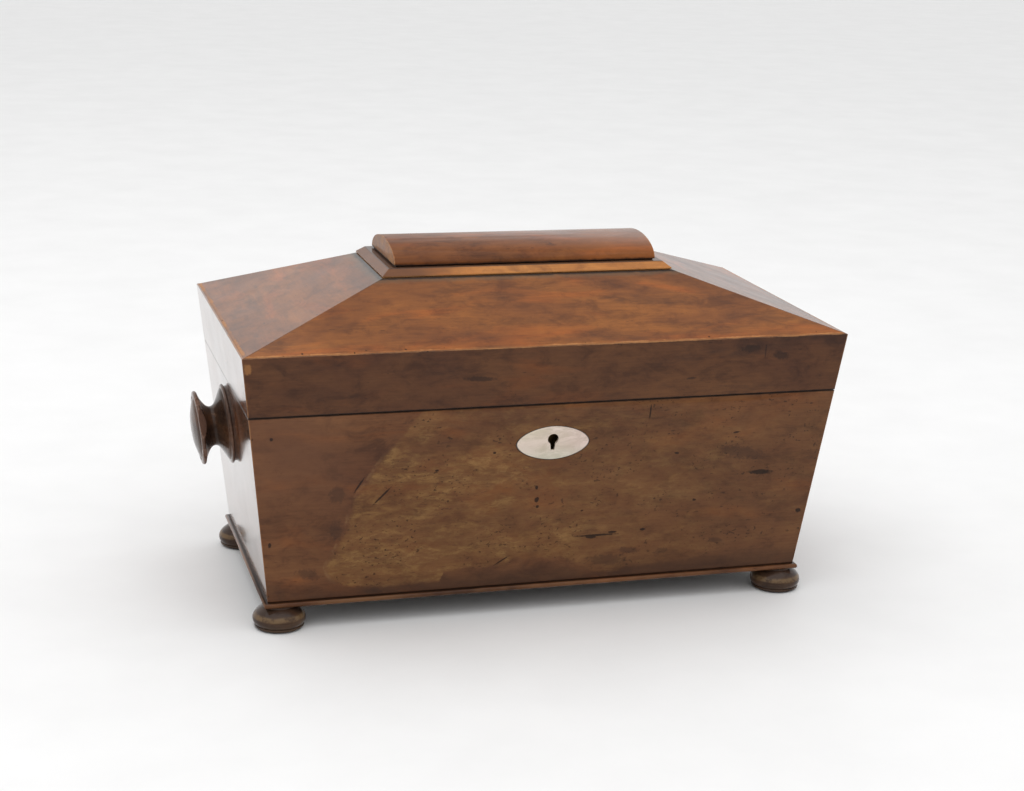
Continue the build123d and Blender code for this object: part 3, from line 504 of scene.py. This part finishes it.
def plinth_wood():
    """The plinth: rubbed to bright orange on its sloping edge, its ledge darkened with painted shade round
    the ridge's foot.
    """
    paint = Paint("solid_plinth")
    colour, height = veneer(paint, PLINTH_TONES, False, 12, smoky=0.45)
    to_left = paint.level(paint.x, -30, -64)
    colour = paint.mix(paint.times(to_left, 0.85), colour, rgb(96, 60, 38))
    rise = plinth_high.z - plinth_low.z
    wander = paint.line(0.5, paint.noise(7, seed=61), -0.25)
    lower = paint.plus(paint.z, wander)
    lower = paint.level(lower, plinth_low.z + 0.24 * rise, plinth_low.z + 0.1 * rise)
    colour = paint.mix(paint.times(lower, 0.6), colour, rgb(206, 152, 98))
    # painted shade: the ledge darkened round the foot of the ridge
    ledge = paint.level(paint.z, plinth_high.z - 0.5, plinth_high.z - 0.1)
    colour = paint.mix(paint.times(ledge, 0.85), colour, rgb(70, 50, 40))
    return polished(paint, colour, height, rough=0.4, coat=0.8)


def moulding_wood(name, end, seed):
    """The base moulding: dark, with rubbed edges."""
    paint = Paint(name)
    colour, height = veneer(paint, SOLID_TONES, end, seed, smoky=0.7)
    low, high = corners("base_moulding_front")
    from_middle = paint.maths("ABSOLUTE", paint.line(1.0, paint.z, -(low.z + high.z) / 2))
    middle = paint.level(from_middle, 1.5, 0.9)
    rubbed = paint.times(middle, paint.level(paint.noise(30, detail=3, seed=seed + 63), 0.34, 0.66))
    colour = paint.mix(paint.times(rubbed, 0.42), colour, rgb(146, 104, 68))
    colour = grime_and_shade(paint, colour, paint.maths("SUBTRACT", high.z, paint.z), 0.35, 0.7)
    return polished(paint, colour, height, rough=0.4, coat=0.8)


def foot_wood():
    """Bun feet: dark, olive brown, with an ochre band rubbed round the widest part."""
    paint = Paint("turned_feet")
    colour, height = veneer(paint, FOOT_TONES, False, 15, smoky=0.6)
    rise = foot_high.z - foot_low.z
    wander = paint.line(1.6, paint.noise(9, detail=3, seed=65), -0.8)
    from_band = paint.plus(paint.line(1.0, paint.z, -(foot_low.z + 0.42 * rise)), wander)
    from_band = paint.maths("ABSOLUTE", from_band)
    patchy = paint.level(paint.noise(4, detail=6, rough=0.7, seed=67), 0.32, 0.56)
    rubbed = paint.times(paint.level(from_band, 1.7, 0.5), patchy)
    colour = paint.mix(paint.times(rubbed, 0.7), colour, rgb(122, 98, 70))
    # painted shade: darker towards the floor, on the underside of the foot
    colour = grime_and_shade(paint, colour, paint.maths("SUBTRACT", paint.z, foot_low.z), 1.6, 0.85)
    return polished(paint, colour, height, rough=0.34, coat=0.9, worn=paint.times(rubbed, 0.3))


def knob_wood(with_chips=False):
    """Side knobs: near-black brown polish, rubbed back to wood on the lip; on the chipped knob, paler rings
    on the lip and base bead that are partly painted highlight; bare wood in the chips.
    """
    paint = Paint("turned_knob_chipped" if with_chips else "turned_knobs")
    colour, height = veneer(paint, KNOB_TONES, True, 17, smoky=0.5)
    scuffed = paint.level(paint.noise(5, detail=5, rough=0.66, seed=71), 0.62, 0.7)
    colour = paint.mix(paint.times(scuffed, 0.55), colour, rgb(120, 92, 74))
    if with_chips:
        axis = knob_turn @ Vector((0, 0, 1))
        reach = paint.add("ShaderNodeVectorMath", operation="DOT_PRODUCT")
        paint.feed(reach.inputs[0], paint.place)
        reach.inputs[1].default_value = axis
        out = paint.line(1.0, reach.outputs["Value"], -knob_place.translation.dot(axis))
        # paler rings on the base bead and the lip: handling wear, and painted highlight for the shine on
        # these rounds
        wear_and_highlight = paint.level(paint.noise(2.6, detail=5, rough=0.7, seed=75), 0.42, 0.6)
        wear_and_highlight = paint.line(0.6, wear_and_highlight, 0.4)
        on_bead = paint.times(paint.level(out, 3.4, 2.6), wear_and_highlight)
        on_lip = paint.times(paint.level(out, 15.4, 16.4), paint.level(out, 18.2, 17.6), wear_and_highlight)
        rubbed = paint.times(paint.maths("MAXIMUM", on_bead, on_lip), 0.5)
        colour = paint.mix(rubbed, colour, rgb(126, 98, 84))
        for chip in CHIPS:
            far, near = (9, 7) if chip[4] > BROAD_CHIP else (3.6, 2.6)
            at, facing = chip_frame(*chip[:4])
            at, facing = knob_place @ at, knob_turn @ facing
            away = paint.add("ShaderNodeVectorMath", operation="DISTANCE")
            paint.feed(away.inputs[0], paint.place)
            away.inputs[1].default_value = at
            depth = paint.add("ShaderNodeVectorMath", operation="DOT_PRODUCT")
            paint.feed(depth.inputs[0], paint.place)
            depth.inputs[1].default_value = facing
            flat = at.dot(facing)
            bare = paint.level(depth.outputs["Value"], flat - 0.32, flat - 0.2)
            bare = paint.times(bare, paint.level(away.outputs["Value"], far, near))
            colour = paint.mix(paint.times(bare, 0.85), colour, rgb(134, 106, 92))
    rings = paint.noise(1.1, (0.6, 6, 6), detail=2, seed=73)
    height = paint.plus(height, paint.times(rings, 0.5), paint.times(scuffed, -0.6))
    return polished(paint, colour, height, rough=0.3, coat=0.75, worn=paint.times(scuffed, 0.5))


def plain_wood(name, tones, end=False, seed=0, rough=0.62, coat=0.0):
    """Inside timber: straight, quiet grain with open pores and soft dirt."""
    paint = Paint(name)
    long, across = (1, 14) if end else (14, 1)
    dark, middle, light = (rgb(*tone) for tone in tones)
    figure = paint.noise(7, (long, across, 1.4), detail=5, rough=0.6, warp=0.4, seed=seed)
    colour = paint.ramp(figure, (0.3, dark), (0.5, middle), (0.7, light))
    grain = paint.noise(0.7, (long, across, 1), detail=3, seed=seed + 1)
    lined = paint.ramp(grain, (0.3, rgb(160, 148, 140)), (0.7, WHITE))
    colour = paint.mix(0.35, colour, lined, "MULTIPLY")
    pores = paint.noise(0.8, (long * 0.5, across * 0.5, 0.7), detail=1, seed=seed + 2)
    pores = paint.level(pores, 0.66, 0.74)
    colour = paint.mix(paint.times(pores, 0.5), colour, tint(tones[0], 0.5))
    soil = paint.level(paint.noise(35, detail=5, seed=seed + 3), 0.5, 0.75)
    colour = paint.mix(paint.times(soil, 0.3), colour, tint(tones[0], 0.6))
    height = paint.plus(grain, paint.times(pores, -1.0))
    roughness = paint.line(0.25, figure, rough - 0.12)
    normal = paint.bump(height, 0.5, 0.08)
    return paint.finish(colour, roughness, normal, Coat_Weight=coat, Coat_Roughness=0.25)


ESCUTCHEON_POWER = 1.8  # the outline lies between a diamond and an ellipse


def pearl():
    """The escutcheon: aged mother of pearl with a dark line of old glue round its edge."""
    paint = Paint("pearl_escutcheon")
    middle = (escutcheon_low + escutcheon_high) / 2
    half = (escutcheon_high - escutcheon_low) / 2
    silk = paint.noise(9, (2, 1, 1), detail=5, rough=0.6, warp=1.6, seed=81)
    colour = paint.ramp(
        silk, (0.3, rgb(190, 173, 150)), (0.5, rgb(211, 194, 177)), (0.66, rgb(226, 208, 194))
    )
    to_left = paint.level(paint.x, middle.x + 2, middle.x - half.x)
    to_top = paint.level(paint.z, middle.z - 1, middle.z + half.z)
    colour = paint.mix(paint.times(to_left, to_top, 0.5), colour, rgb(206, 204, 164))
    to_right = paint.level(paint.x, middle.x, middle.x + half.x)
    colour = paint.mix(paint.times(to_right, 0.35), colour, rgb(222, 190, 188))
    to_bottom = paint.level(paint.z, middle.z, middle.z - half.z)
    colour = paint.mix(paint.times(to_bottom, 0.35), colour, rgb(182, 196, 172))
    hairlines = paint.noise(0.8, (9, 1, 0.8), detail=3, turn=(0, 14, 0), seed=83)
    hairlines = paint.level(hairlines, 0.64, 0.7)
    colour = paint.mix(paint.times(hairlines, 0.25), colour, rgb(150, 132, 112))
    across = paint.maths("ABSOLUTE", paint.line(1 / half.x, paint.x, -middle.x / half.x))
    across = paint.maths("POWER", across, ESCUTCHEON_POWER)
    along = paint.maths("ABSOLUTE", paint.line(1 / half.z, paint.z, -middle.z / half.z))
    along = paint.maths("POWER", along, ESCUTCHEON_POWER)
    edge = paint.level(paint.plus(across, along), 0.93, 0.99)
    colour = paint.mix(edge, colour, rgb(46, 34, 26))
    roughness = paint.line(0.25, silk, 0.14)
    normal = paint.bump(paint.plus(silk, paint.times(hairlines, -0.4)), 0.3, 0.05)
    return paint.finish(
        colour, roughness, normal, Coat_Weight=0.5, Coat_Roughness=0.08, Sheen_Weight=0.1
    )


def metal(name, bright, dull, seed=0, rough=0.3):
    """Aged metal: brushed lines, tarnish in clouds, and small dark spots."""
    paint = Paint(name)
    cloud = paint.noise(6, detail=5, rough=0.65, warp=0.6, seed=seed)
    spots = paint.level(paint.noise(1.2, detail=3, seed=seed + 1), 0.64, 0.74)
    colour = paint.ramp(cloud, (0.36, rgb(*bright)), (0.64, rgb(*dull)))
    colour = paint.mix(paint.times(spots, 0.5), colour, tint(dull, 0.5))
    lines = paint.noise(0.25, (30, 1, 1), detail=2, seed=seed + 2)
    roughness = paint.plus(paint.line(0.4, cloud, rough - 0.15), paint.times(lines, 0.12))
    normal = paint.bump(paint.plus(lines, paint.times(spots, -0.6)), 0.35, 0.02)
    return paint.finish(colour, roughness, normal, Metallic=1.0)


def lead_foil():
    """The tea compartments' lead foil: soft, creased and grey."""
    paint = Paint("lead_foil")
    creases = paint.cells(9, (1, 1, 2.2), seed=3)
    fine = paint.noise(3, detail=5, rough=0.6, seed=91)
    cloud = paint.noise(14, detail=5, seed=93)
    colour = paint.ramp(
        cloud, (0.3, rgb(126, 126, 124)), (0.55, rgb(158, 158, 155)), (0.75, rgb(184, 182, 176))
    )
    stain = paint.level(paint.noise(20, detail=5, seed=95), 0.55, 0.75)
    colour = paint.mix(paint.times(stain, 0.5), colour, rgb(84, 76, 64))
    normal = paint.bump(paint.plus(creases, paint.times(fine, 0.5)), 0.6, 0.35)
    return paint.finish(colour, paint.line(0.3, fine, 0.3), normal, Metallic=0.5)


def lining_paper():
    """The lid's lining: buff paper with a small sprig in faded blue, and foxing."""
    paint = Paint("lining_paper")
    fibre = paint.noise(0.6, (3, 3, 1), detail=4, seed=101)
    cloud = paint.noise(40, detail=4, seed=103)
    colour = paint.ramp(cloud, (0.3, rgb(170, 148, 112)), (0.7, rgb(198, 178, 142)))
    sprigs = paint.cells(7.5, seed=5)
    heart = paint.level(sprigs, 0.2, 0.12)
    broken = paint.level(paint.noise(1.6, detail=1, seed=105), 0.5, 0.6)
    leaves = paint.times(paint.level(sprigs, 0.42, 0.34), broken)
    printed = paint.times(paint.maths("MAXIMUM", heart, leaves), 0.5)
    colour = paint.mix(printed, colour, rgb(92, 104, 116))
    foxing = paint.level(paint.noise(8, detail=5, rough=0.7, seed=107), 0.62, 0.74)
    colour = paint.mix(paint.times(foxing, 0.4), colour, rgb(128, 88, 52))
    return paint.finish(colour, paint.line(0.15, fibre, 0.75), paint.bump(fibre, 0.5, 0.04))


def bone():
    """The tea lids' turned pulls: cream bone with fine dark channels."""
    paint = Paint("bone_pulls")
    cloud = paint.noise(6, detail=4, seed=111)
    colour = paint.ramp(cloud, (0.3, rgb(206, 192, 160)), (0.7, rgb(228, 218, 194)))
    channels = paint.level(paint.noise(0.35, (1, 1, 9), detail=2, seed=113), 0.62, 0.7)
    colour = paint.mix(paint.times(channels, 0.5), colour, rgb(132, 104, 70))
    roughness = paint.line(0.2, channels, 0.3)
    normal = paint.bump(channels, 0.3, -0.03)
    return paint.finish(colour, roughness, normal, Coat_Weight=0.4, Coat_Roughness=0.15)


def bowl_glass():
    """The mixing bowl: clear, faintly grey-green glass with slight waves and bubbles."""
    paint = Paint("bowl_glass")
    waves = paint.noise(16, (1, 1, 0.4), detail=2, seed=121)
    seeds = paint.level(paint.cells(9, seed=7), 0.05, 0.03)
    colour = paint.ramp(waves, (0.3, rgb(226, 236, 230)), (0.7, rgb(242, 247, 243)))
    normal = paint.bump(paint.plus(waves, paint.times(seeds, 0.3)), 0.25, 0.25)
    roughness = paint.line(0.03, waves, 0.005)
    return paint.finish(colour, roughness, normal, Transmission_Weight=1.0, IOR=1.5)


MAHOGANY_TONES = ((78, 46, 30), (108, 68, 44), (130, 86, 56))
TEA_LID_TONES = ((84, 50, 32), (118, 76, 48), (144, 96, 62))
PINE_TONES = ((112, 76, 48), (142, 102, 66), (164, 124, 84))
STAINED_TONES = ((40, 28, 22), (56, 40, 30), (72, 52, 38))
interior = plain_wood("interior_mahogany", MAHOGANY_TONES, True, 21, rough=0.5, coat=0.3)
carcass = plain_wood("carcass_pine", PINE_TONES, False, 23)
underside = plain_wood("stained_base", STAINED_TONES, False, 26)
carcass_end = plain_wood("carcass_pine_ends", PINE_TONES, True, 24)
lid_board = plain_wood("tea_lid_mahogany", TEA_LID_TONES, True, 25, rough=0.42, coat=0.6)
brass = metal("aged_brass", (180, 150, 100), (136, 110, 72), 1)
steel = metal("lock_steel", (150, 148, 144), (88, 82, 76), 5, rough=0.36)
foot = foot_wood()
knob = knob_wood()

finishes = {
    "front_veneer": front_wall(),
    "back_veneer": wall("veneer_case_back", False, 4),
    "left_veneer": wall("veneer_case_left", True, 6),
    "right_veneer": wall("veneer_case_right", True, 9),
    "rim_veneer_front": band("veneer_rim_front", False, 30),
    "rim_veneer_back": band("veneer_rim_back", False, 33),
    "rim_veneer_left": band("veneer_rim_left", True, 36),
    "rim_veneer_right": band("veneer_rim_right", True, 39),
    "hip_panel_front": hip("veneer_hip_front", False, 42),
    "hip_panel_back": hip("veneer_hip_back", False, 45),
    "hip_panel_left": hip("veneer_hip_left", True, 48),
    "hip_panel_right": hip("veneer_hip_right", True, 51, coat=0.6),
    "lid_ridge": ridge_wood(),
    "lid_plinth": plinth_wood(),
    "base_moulding_front": moulding_wood("moulding_front", False, 54),
    "base_moulding_back": moulding_wood("moulding_back", False, 57),
    "base_moulding_left": moulding_wood("moulding_left", True, 60),
    "base_moulding_right": moulding_wood("moulding_right", True, 63),
    "keyhole_escutcheon": pearl(),
    "lid_lining": lining_paper(),
    "tea_foils": lead_foil(),
    "mixing_bowl": bowl_glass(),
    "tea_ledges": interior,
    "bowl_platform": interior,
    "partition_left": interior,
    "partition_right": interior,
    "tea_lid_left": lid_board,
    "tea_lid_right": lid_board,
    "base_board": underside,
    "front_wall": carcass,
    "back_wall": carcass,
    "left_wall": carcass_end,
    "right_wall": carcass_end,
    "lid_rail_front": carcass,
    "lid_rail_back": carcass,
    "lid_rail_left": carcass_end,
    "lid_rail_right": carcass_end,
    "lid_top_board": carcass,
    "side_knob_left": knob,
    "side_knob_right": knob,
}
pulls = bone()
for name, node in nodes.items():
    if name.startswith("bun_foot"):
        finish = foot
    elif name.startswith("tea_lid_pull"):
        finish = pulls
    elif name.startswith(("hinge", "link_plate", "lock")):
        finish = steel if name in ("lock_spring", "lock_bolt") else brass
    else:
        finish = finishes[name]
    node.data.materials.clear()
    node.data.materials.append(finish)

# ------------------------------------------------------------------ softened, rubbed arrises
ARRIS = {
    "veneer": 0.22,
    "hip_panel": 0.3,
    "lid_plinth": 0.25,
    "lid_ridge": 0.45,
    "base_moulding": 0.25,
    "tea_lid": 0.5,
    "partition": 0.4,
}
ARRIS_ANGLE = 28  # only edges sharper than this are rounded
for name, node in nodes.items():
    for key, radius in ARRIS.items():
        if key in name and "pull" not in name:
            weld = node.modifiers.new("weld", "WELD")
            weld.merge_threshold = 0.000002
            soft = node.modifiers.new("arris", "BEVEL")
            soft.width = radius * MM
            soft.segments = 2
            soft.limit_method = "ANGLE"
            soft.angle_limit = math.radians(ARRIS_ANGLE)
            soft.harden_normals = True
            break

# -------------------------------------------------------------------- the chipped left knob
# its outline as (radius, distance from the wall)
KNOB_BASE = ((20.2, 0.0), (20.2, 1.0))
KNOB_BEAD = ((20.45, 1.05), (21.1, 1.4), (21.3, 1.9), (21.05, 2.45), (20.4, 2.8))
KNOB_STEP = ((19.3, 2.9), (19.1, 3.3))
KNOB_COVE = (
    (17.0, 4.4), (13.6, 6.1), (11.2, 7.8), (10.5, 9.7), (11.2, 11.5), (13.2, 13.2), (16.2, 14.8),
    (19.0, 15.8),
)
KNOB_LIP = ((19.55, 16.15), (19.72, 16.7), (19.55, 17.3), (19.1, 17.7))
KNOB_RING = ((17.4, 18.0), (17.0, 17.6), (16.4, 17.6), (16.0, 18.1))
KNOB_DOME = ((12.4, 19.2), (8.2, 20.2), (4.0, 20.7), (0.0, 20.85))
BEAD_R, BEAD_H = 21.3, 1.9
SEGMENTS = 180
# each chip: degrees round the lip, height and radius of a point on its flat, the flat's tilt to the wall,
# and the chip's reach in degrees
CHIPS = (
    (23.5, 17.6, 19.0, 50, 21), (-28, 17.4, 19.0, 10, 8), (62, 17.3, 19.0, 25, 7), (118, 17.2, 19.1, 30, 9),
    (-75, 17.5, 19.1, -15, 6), (160, 17.2, 19.05, 20, 7), (215, 17.3, 19.1, 35, 9),
)
BROAD_CHIP = 20  # a reach over this many degrees
LIP_R, LIP_H = 13, 13  # the chips stay outside this radius and beyond this height


def smooth(points, steps=4):
    """Points on a smooth line through the given ones."""
    found = []
    for i in range(len(points) - 1):
        before = Vector(points[max(i - 1, 0)])
        start = Vector(points[i])
        end = Vector(points[i + 1])
        after = Vector(points[min(i + 2, len(points) - 1)])
        for k in range(steps):
            t = k / steps
            line = 2 * start + (end - before) * t
            square = (2 * before - 5 * start + 4 * end - after) * t ** 2
            cube = (3 * start - before - 3 * end + after) * t ** 3
            found.append(0.5 * (line + square + cube))
    return [*found, Vector(points[-1])]


def chip_frame(degrees, height, radius, tilt):
    """A point on a chip's flat and the direction that the flat faces, in the knob's own frame."""
    a, t = math.radians(degrees), math.radians(tilt)
    radial = Vector((-math.cos(a), math.sin(a), 0))
    point = radial * radius + Vector((0, 0, height))
    return point, (radial * math.cos(t) - Vector((0, 0, math.sin(t)))).normalized()


def chipped(point):
    """The point moved back on to the flats of the chips that it stands proud of."""
    for degrees, height, radius, tilt, reach in CHIPS:
        at, facing = chip_frame(degrees, height, radius, tilt)
        around = math.degrees(math.atan2(point.y, -point.x)) - degrees
        around = (around + 180) % 360 - 180
        proud = (point - at).dot(facing)
        on_lip = point.z > LIP_H and math.hypot(point.x, point.y) > LIP_R
        if proud > 0 and abs(around) < reach and on_lip:
            rough = 0.18 * noise.noise(point * 0.9) + 0.08 * noise.noise(point * 2.6)
            point = point - facing * max(proud + rough, 0)
    return point


knob_low, knob_high = corners("side_knob_left")
tilt_x = math.atan(slope_x)
sine, cosine = math.sin(tilt_x), math.cos(tilt_x)
knob_z = knob_high.z - BEAD_R * cosine + BEAD_H * sine
knob_x = case_high.x - slope_x * (case_high.z - knob_z)
knob_turn = Matrix(((0, -sine, -cosine), (1, 0, 0), (0, cosine, -sine)))
knob_place = Matrix.Translation((-knob_x, 0, knob_z)) @ knob_turn.to_4x4()


def left_knob():
    """The left knob as a fine turned mesh with its chipped lip."""
    base, step, ring_groove = ([Vector(p) for p in part] for part in (KNOB_BASE, KNOB_STEP, KNOB_RING))
    line = [*base, *smooth(KNOB_BEAD, 3), *step, *smooth(KNOB_COVE, 5), *smooth(KNOB_LIP, 4)]
    line += [*ring_groove, *smooth(KNOB_DOME, 5)]
    points, faces = [Vector((0, 0, 0))], []
    for radius, height in line[:-1]:
        for k in range(SEGMENTS):
            a = 2 * math.pi * k / SEGMENTS
            points.append(chipped(Vector((radius * math.cos(a), radius * math.sin(a), height))))
    points.append(Vector((0, 0, line[-1].y)))
    rings = len(line) - 1
    for k in range(SEGMENTS):
        after = (k + 1) % SEGMENTS
        faces.append((0, 1 + after, 1 + k))
        for ring in range(rings - 1):
            here = 1 + ring * SEGMENTS
            faces.append((here + k, here + after, here + SEGMENTS + after, here + SEGMENTS + k))
        top = 1 + (rings - 1) * SEGMENTS
        faces.append((top + k, top + after, len(points) - 1))
    mesh = bpy.data.meshes.new("chipped_knob")
    mesh.from_pydata([MM * (knob_place @ point) for point in points], [], faces)
    mesh.polygons.foreach_set("use_smooth", [True] * len(faces))
    mesh.set_sharp_from_angle(angle=math.radians(40))
    mesh.materials.append(knob_wood(True))
    piece = bpy.data.objects.new("chipped_knob", mesh)
    bpy.context.scene.collection.objects.link(piece)
    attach(piece, "case")
    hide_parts("side_knob_left")


left_knob()

# ------------------------------------------------------------------------- floor and light
FLOOR_HALF = 14.0


def floor_sheet():
    """A wide, plain, pale floor."""
    mesh = bpy.data.meshes.new("floor")
    spots = [(x * FLOOR_HALF, y * FLOOR_HALF, 0) for x, y in ((-1, -1), (1, -1), (1, 1), (-1, 1))]
    mesh.from_pydata(spots, [], [(0, 1, 2, 3)])
    floor = bpy.data.objects.new("floor", mesh)
    bpy.context.scene.collection.objects.link(floor)
    paint = Paint("floor_paint")
    mottle = paint.noise(60, detail=4, seed=131)
    colour = paint.ramp(mottle, (0.3, rgb(236, 236, 236)), (0.7, rgb(240, 240, 240)))
    relief = paint.bump(paint.noise(1.2, detail=3), 0.15, 0.1)
    mesh.materials.append(paint.finish(colour, 0.6, relief, Specular_IOR_Level=0.1))


floor_sheet()

WORLD_FRONT = 0.2
WORLD_BACK = 0.82
WORLD_TOP = 0.94


def studio_world():
    """White surroundings, brightest overhead and dimmest low down on the camera's side."""
    world = bpy.data.worlds.new("studio")
    world.use_nodes = True
    tree = world.node_tree
    around = tree.nodes.new("ShaderNodeTexCoord")
    split = tree.nodes.new("ShaderNodeSeparateXYZ")
    tree.links.new(around.outputs["Generated"], split.inputs[0])
    low = tree.nodes.new("ShaderNodeMapRange")
    high = tree.nodes.new("ShaderNodeMapRange")
    for node, value, span, ends in (
        (low, split.outputs[1], (-0.7, 0.2), (WORLD_FRONT, WORLD_BACK)),
        (high, split.outputs[2], (0.04, 0.45), (low.outputs[0], WORLD_TOP)),
    ):
        node.interpolation_type = "SMOOTHSTEP"
        tree.links.new(value, node.inputs["Value"])
        for name, amount in zip(("From Min", "From Max", "To Min", "To Max"), (*span, *ends)):
            if isinstance(amount, float):
                node.inputs[name].default_value = amount
            else:
                tree.links.new(amount, node.inputs[name])
    tree.links.new(high.outputs[0], tree.nodes["Background"].inputs["Strength"])
    tree.nodes["Background"].inputs["Color"].default_value = WHITE
    bpy.context.scene.world = world


studio_world()


def soft_box(name, place, aim, width, depth, power):
    """A large soft lamp at place, facing aim."""
    data = bpy.data.lights.new(name, "AREA")
    data.shape = "RECTANGLE"
    data.size = width
    data.size_y = depth
    data.energy = power
    lamp = bpy.data.objects.new(name, data)
    bpy.context.scene.collection.objects.link(lamp)
    lamp.location = place
    lamp.rotation_euler = (Vector(aim) - Vector(place)).to_track_quat("-Z", "Y").to_euler()


soft_box("overhead", (-0.3, -0.3, 1.7), (0.0, 0.0, 0.0), 2.6, 2.2, 14)

# ---------------------------------------------------------------------------------- camera
CAMERA_PLACE = (-0.28779, -0.97880, 0.38036)
CAMERA_HEADING = 16.50  # degrees from +Y towards +X
CAMERA_DOWN = 15.41  # degrees below level
CAMERA_ROLL = -1.688
LENS = 67.2
SENSOR = 36.0


def make_camera():
    heading, down = math.radians(CAMERA_HEADING), math.radians(CAMERA_DOWN)
    level_ahead = Vector((math.sin(heading), math.cos(heading), 0))
    ahead = level_ahead * math.cos(down) - Vector((0, 0, math.sin(down)))
    level_right = Vector((math.cos(heading), -math.sin(heading), 0))
    right = Matrix.Rotation(math.radians(CAMERA_ROLL), 3, ahead) @ level_right
    up = right.cross(ahead)
    turn = Matrix((right, up, -ahead)).transposed()
    data = bpy.data.cameras.new("camera")
    data.lens = LENS
    data.sensor_width = SENSOR
    camera = bpy.data.objects.new("camera", data)
    bpy.context.scene.collection.objects.link(camera)
    camera.matrix_world = Matrix.Translation(CAMERA_PLACE) @ turn.to_4x4()
    bpy.context.scene.camera = camera


make_camera()
bpy.context.scene.view_settings.view_transform = "Standard"
bpy.context.scene.view_settings.look = "None"
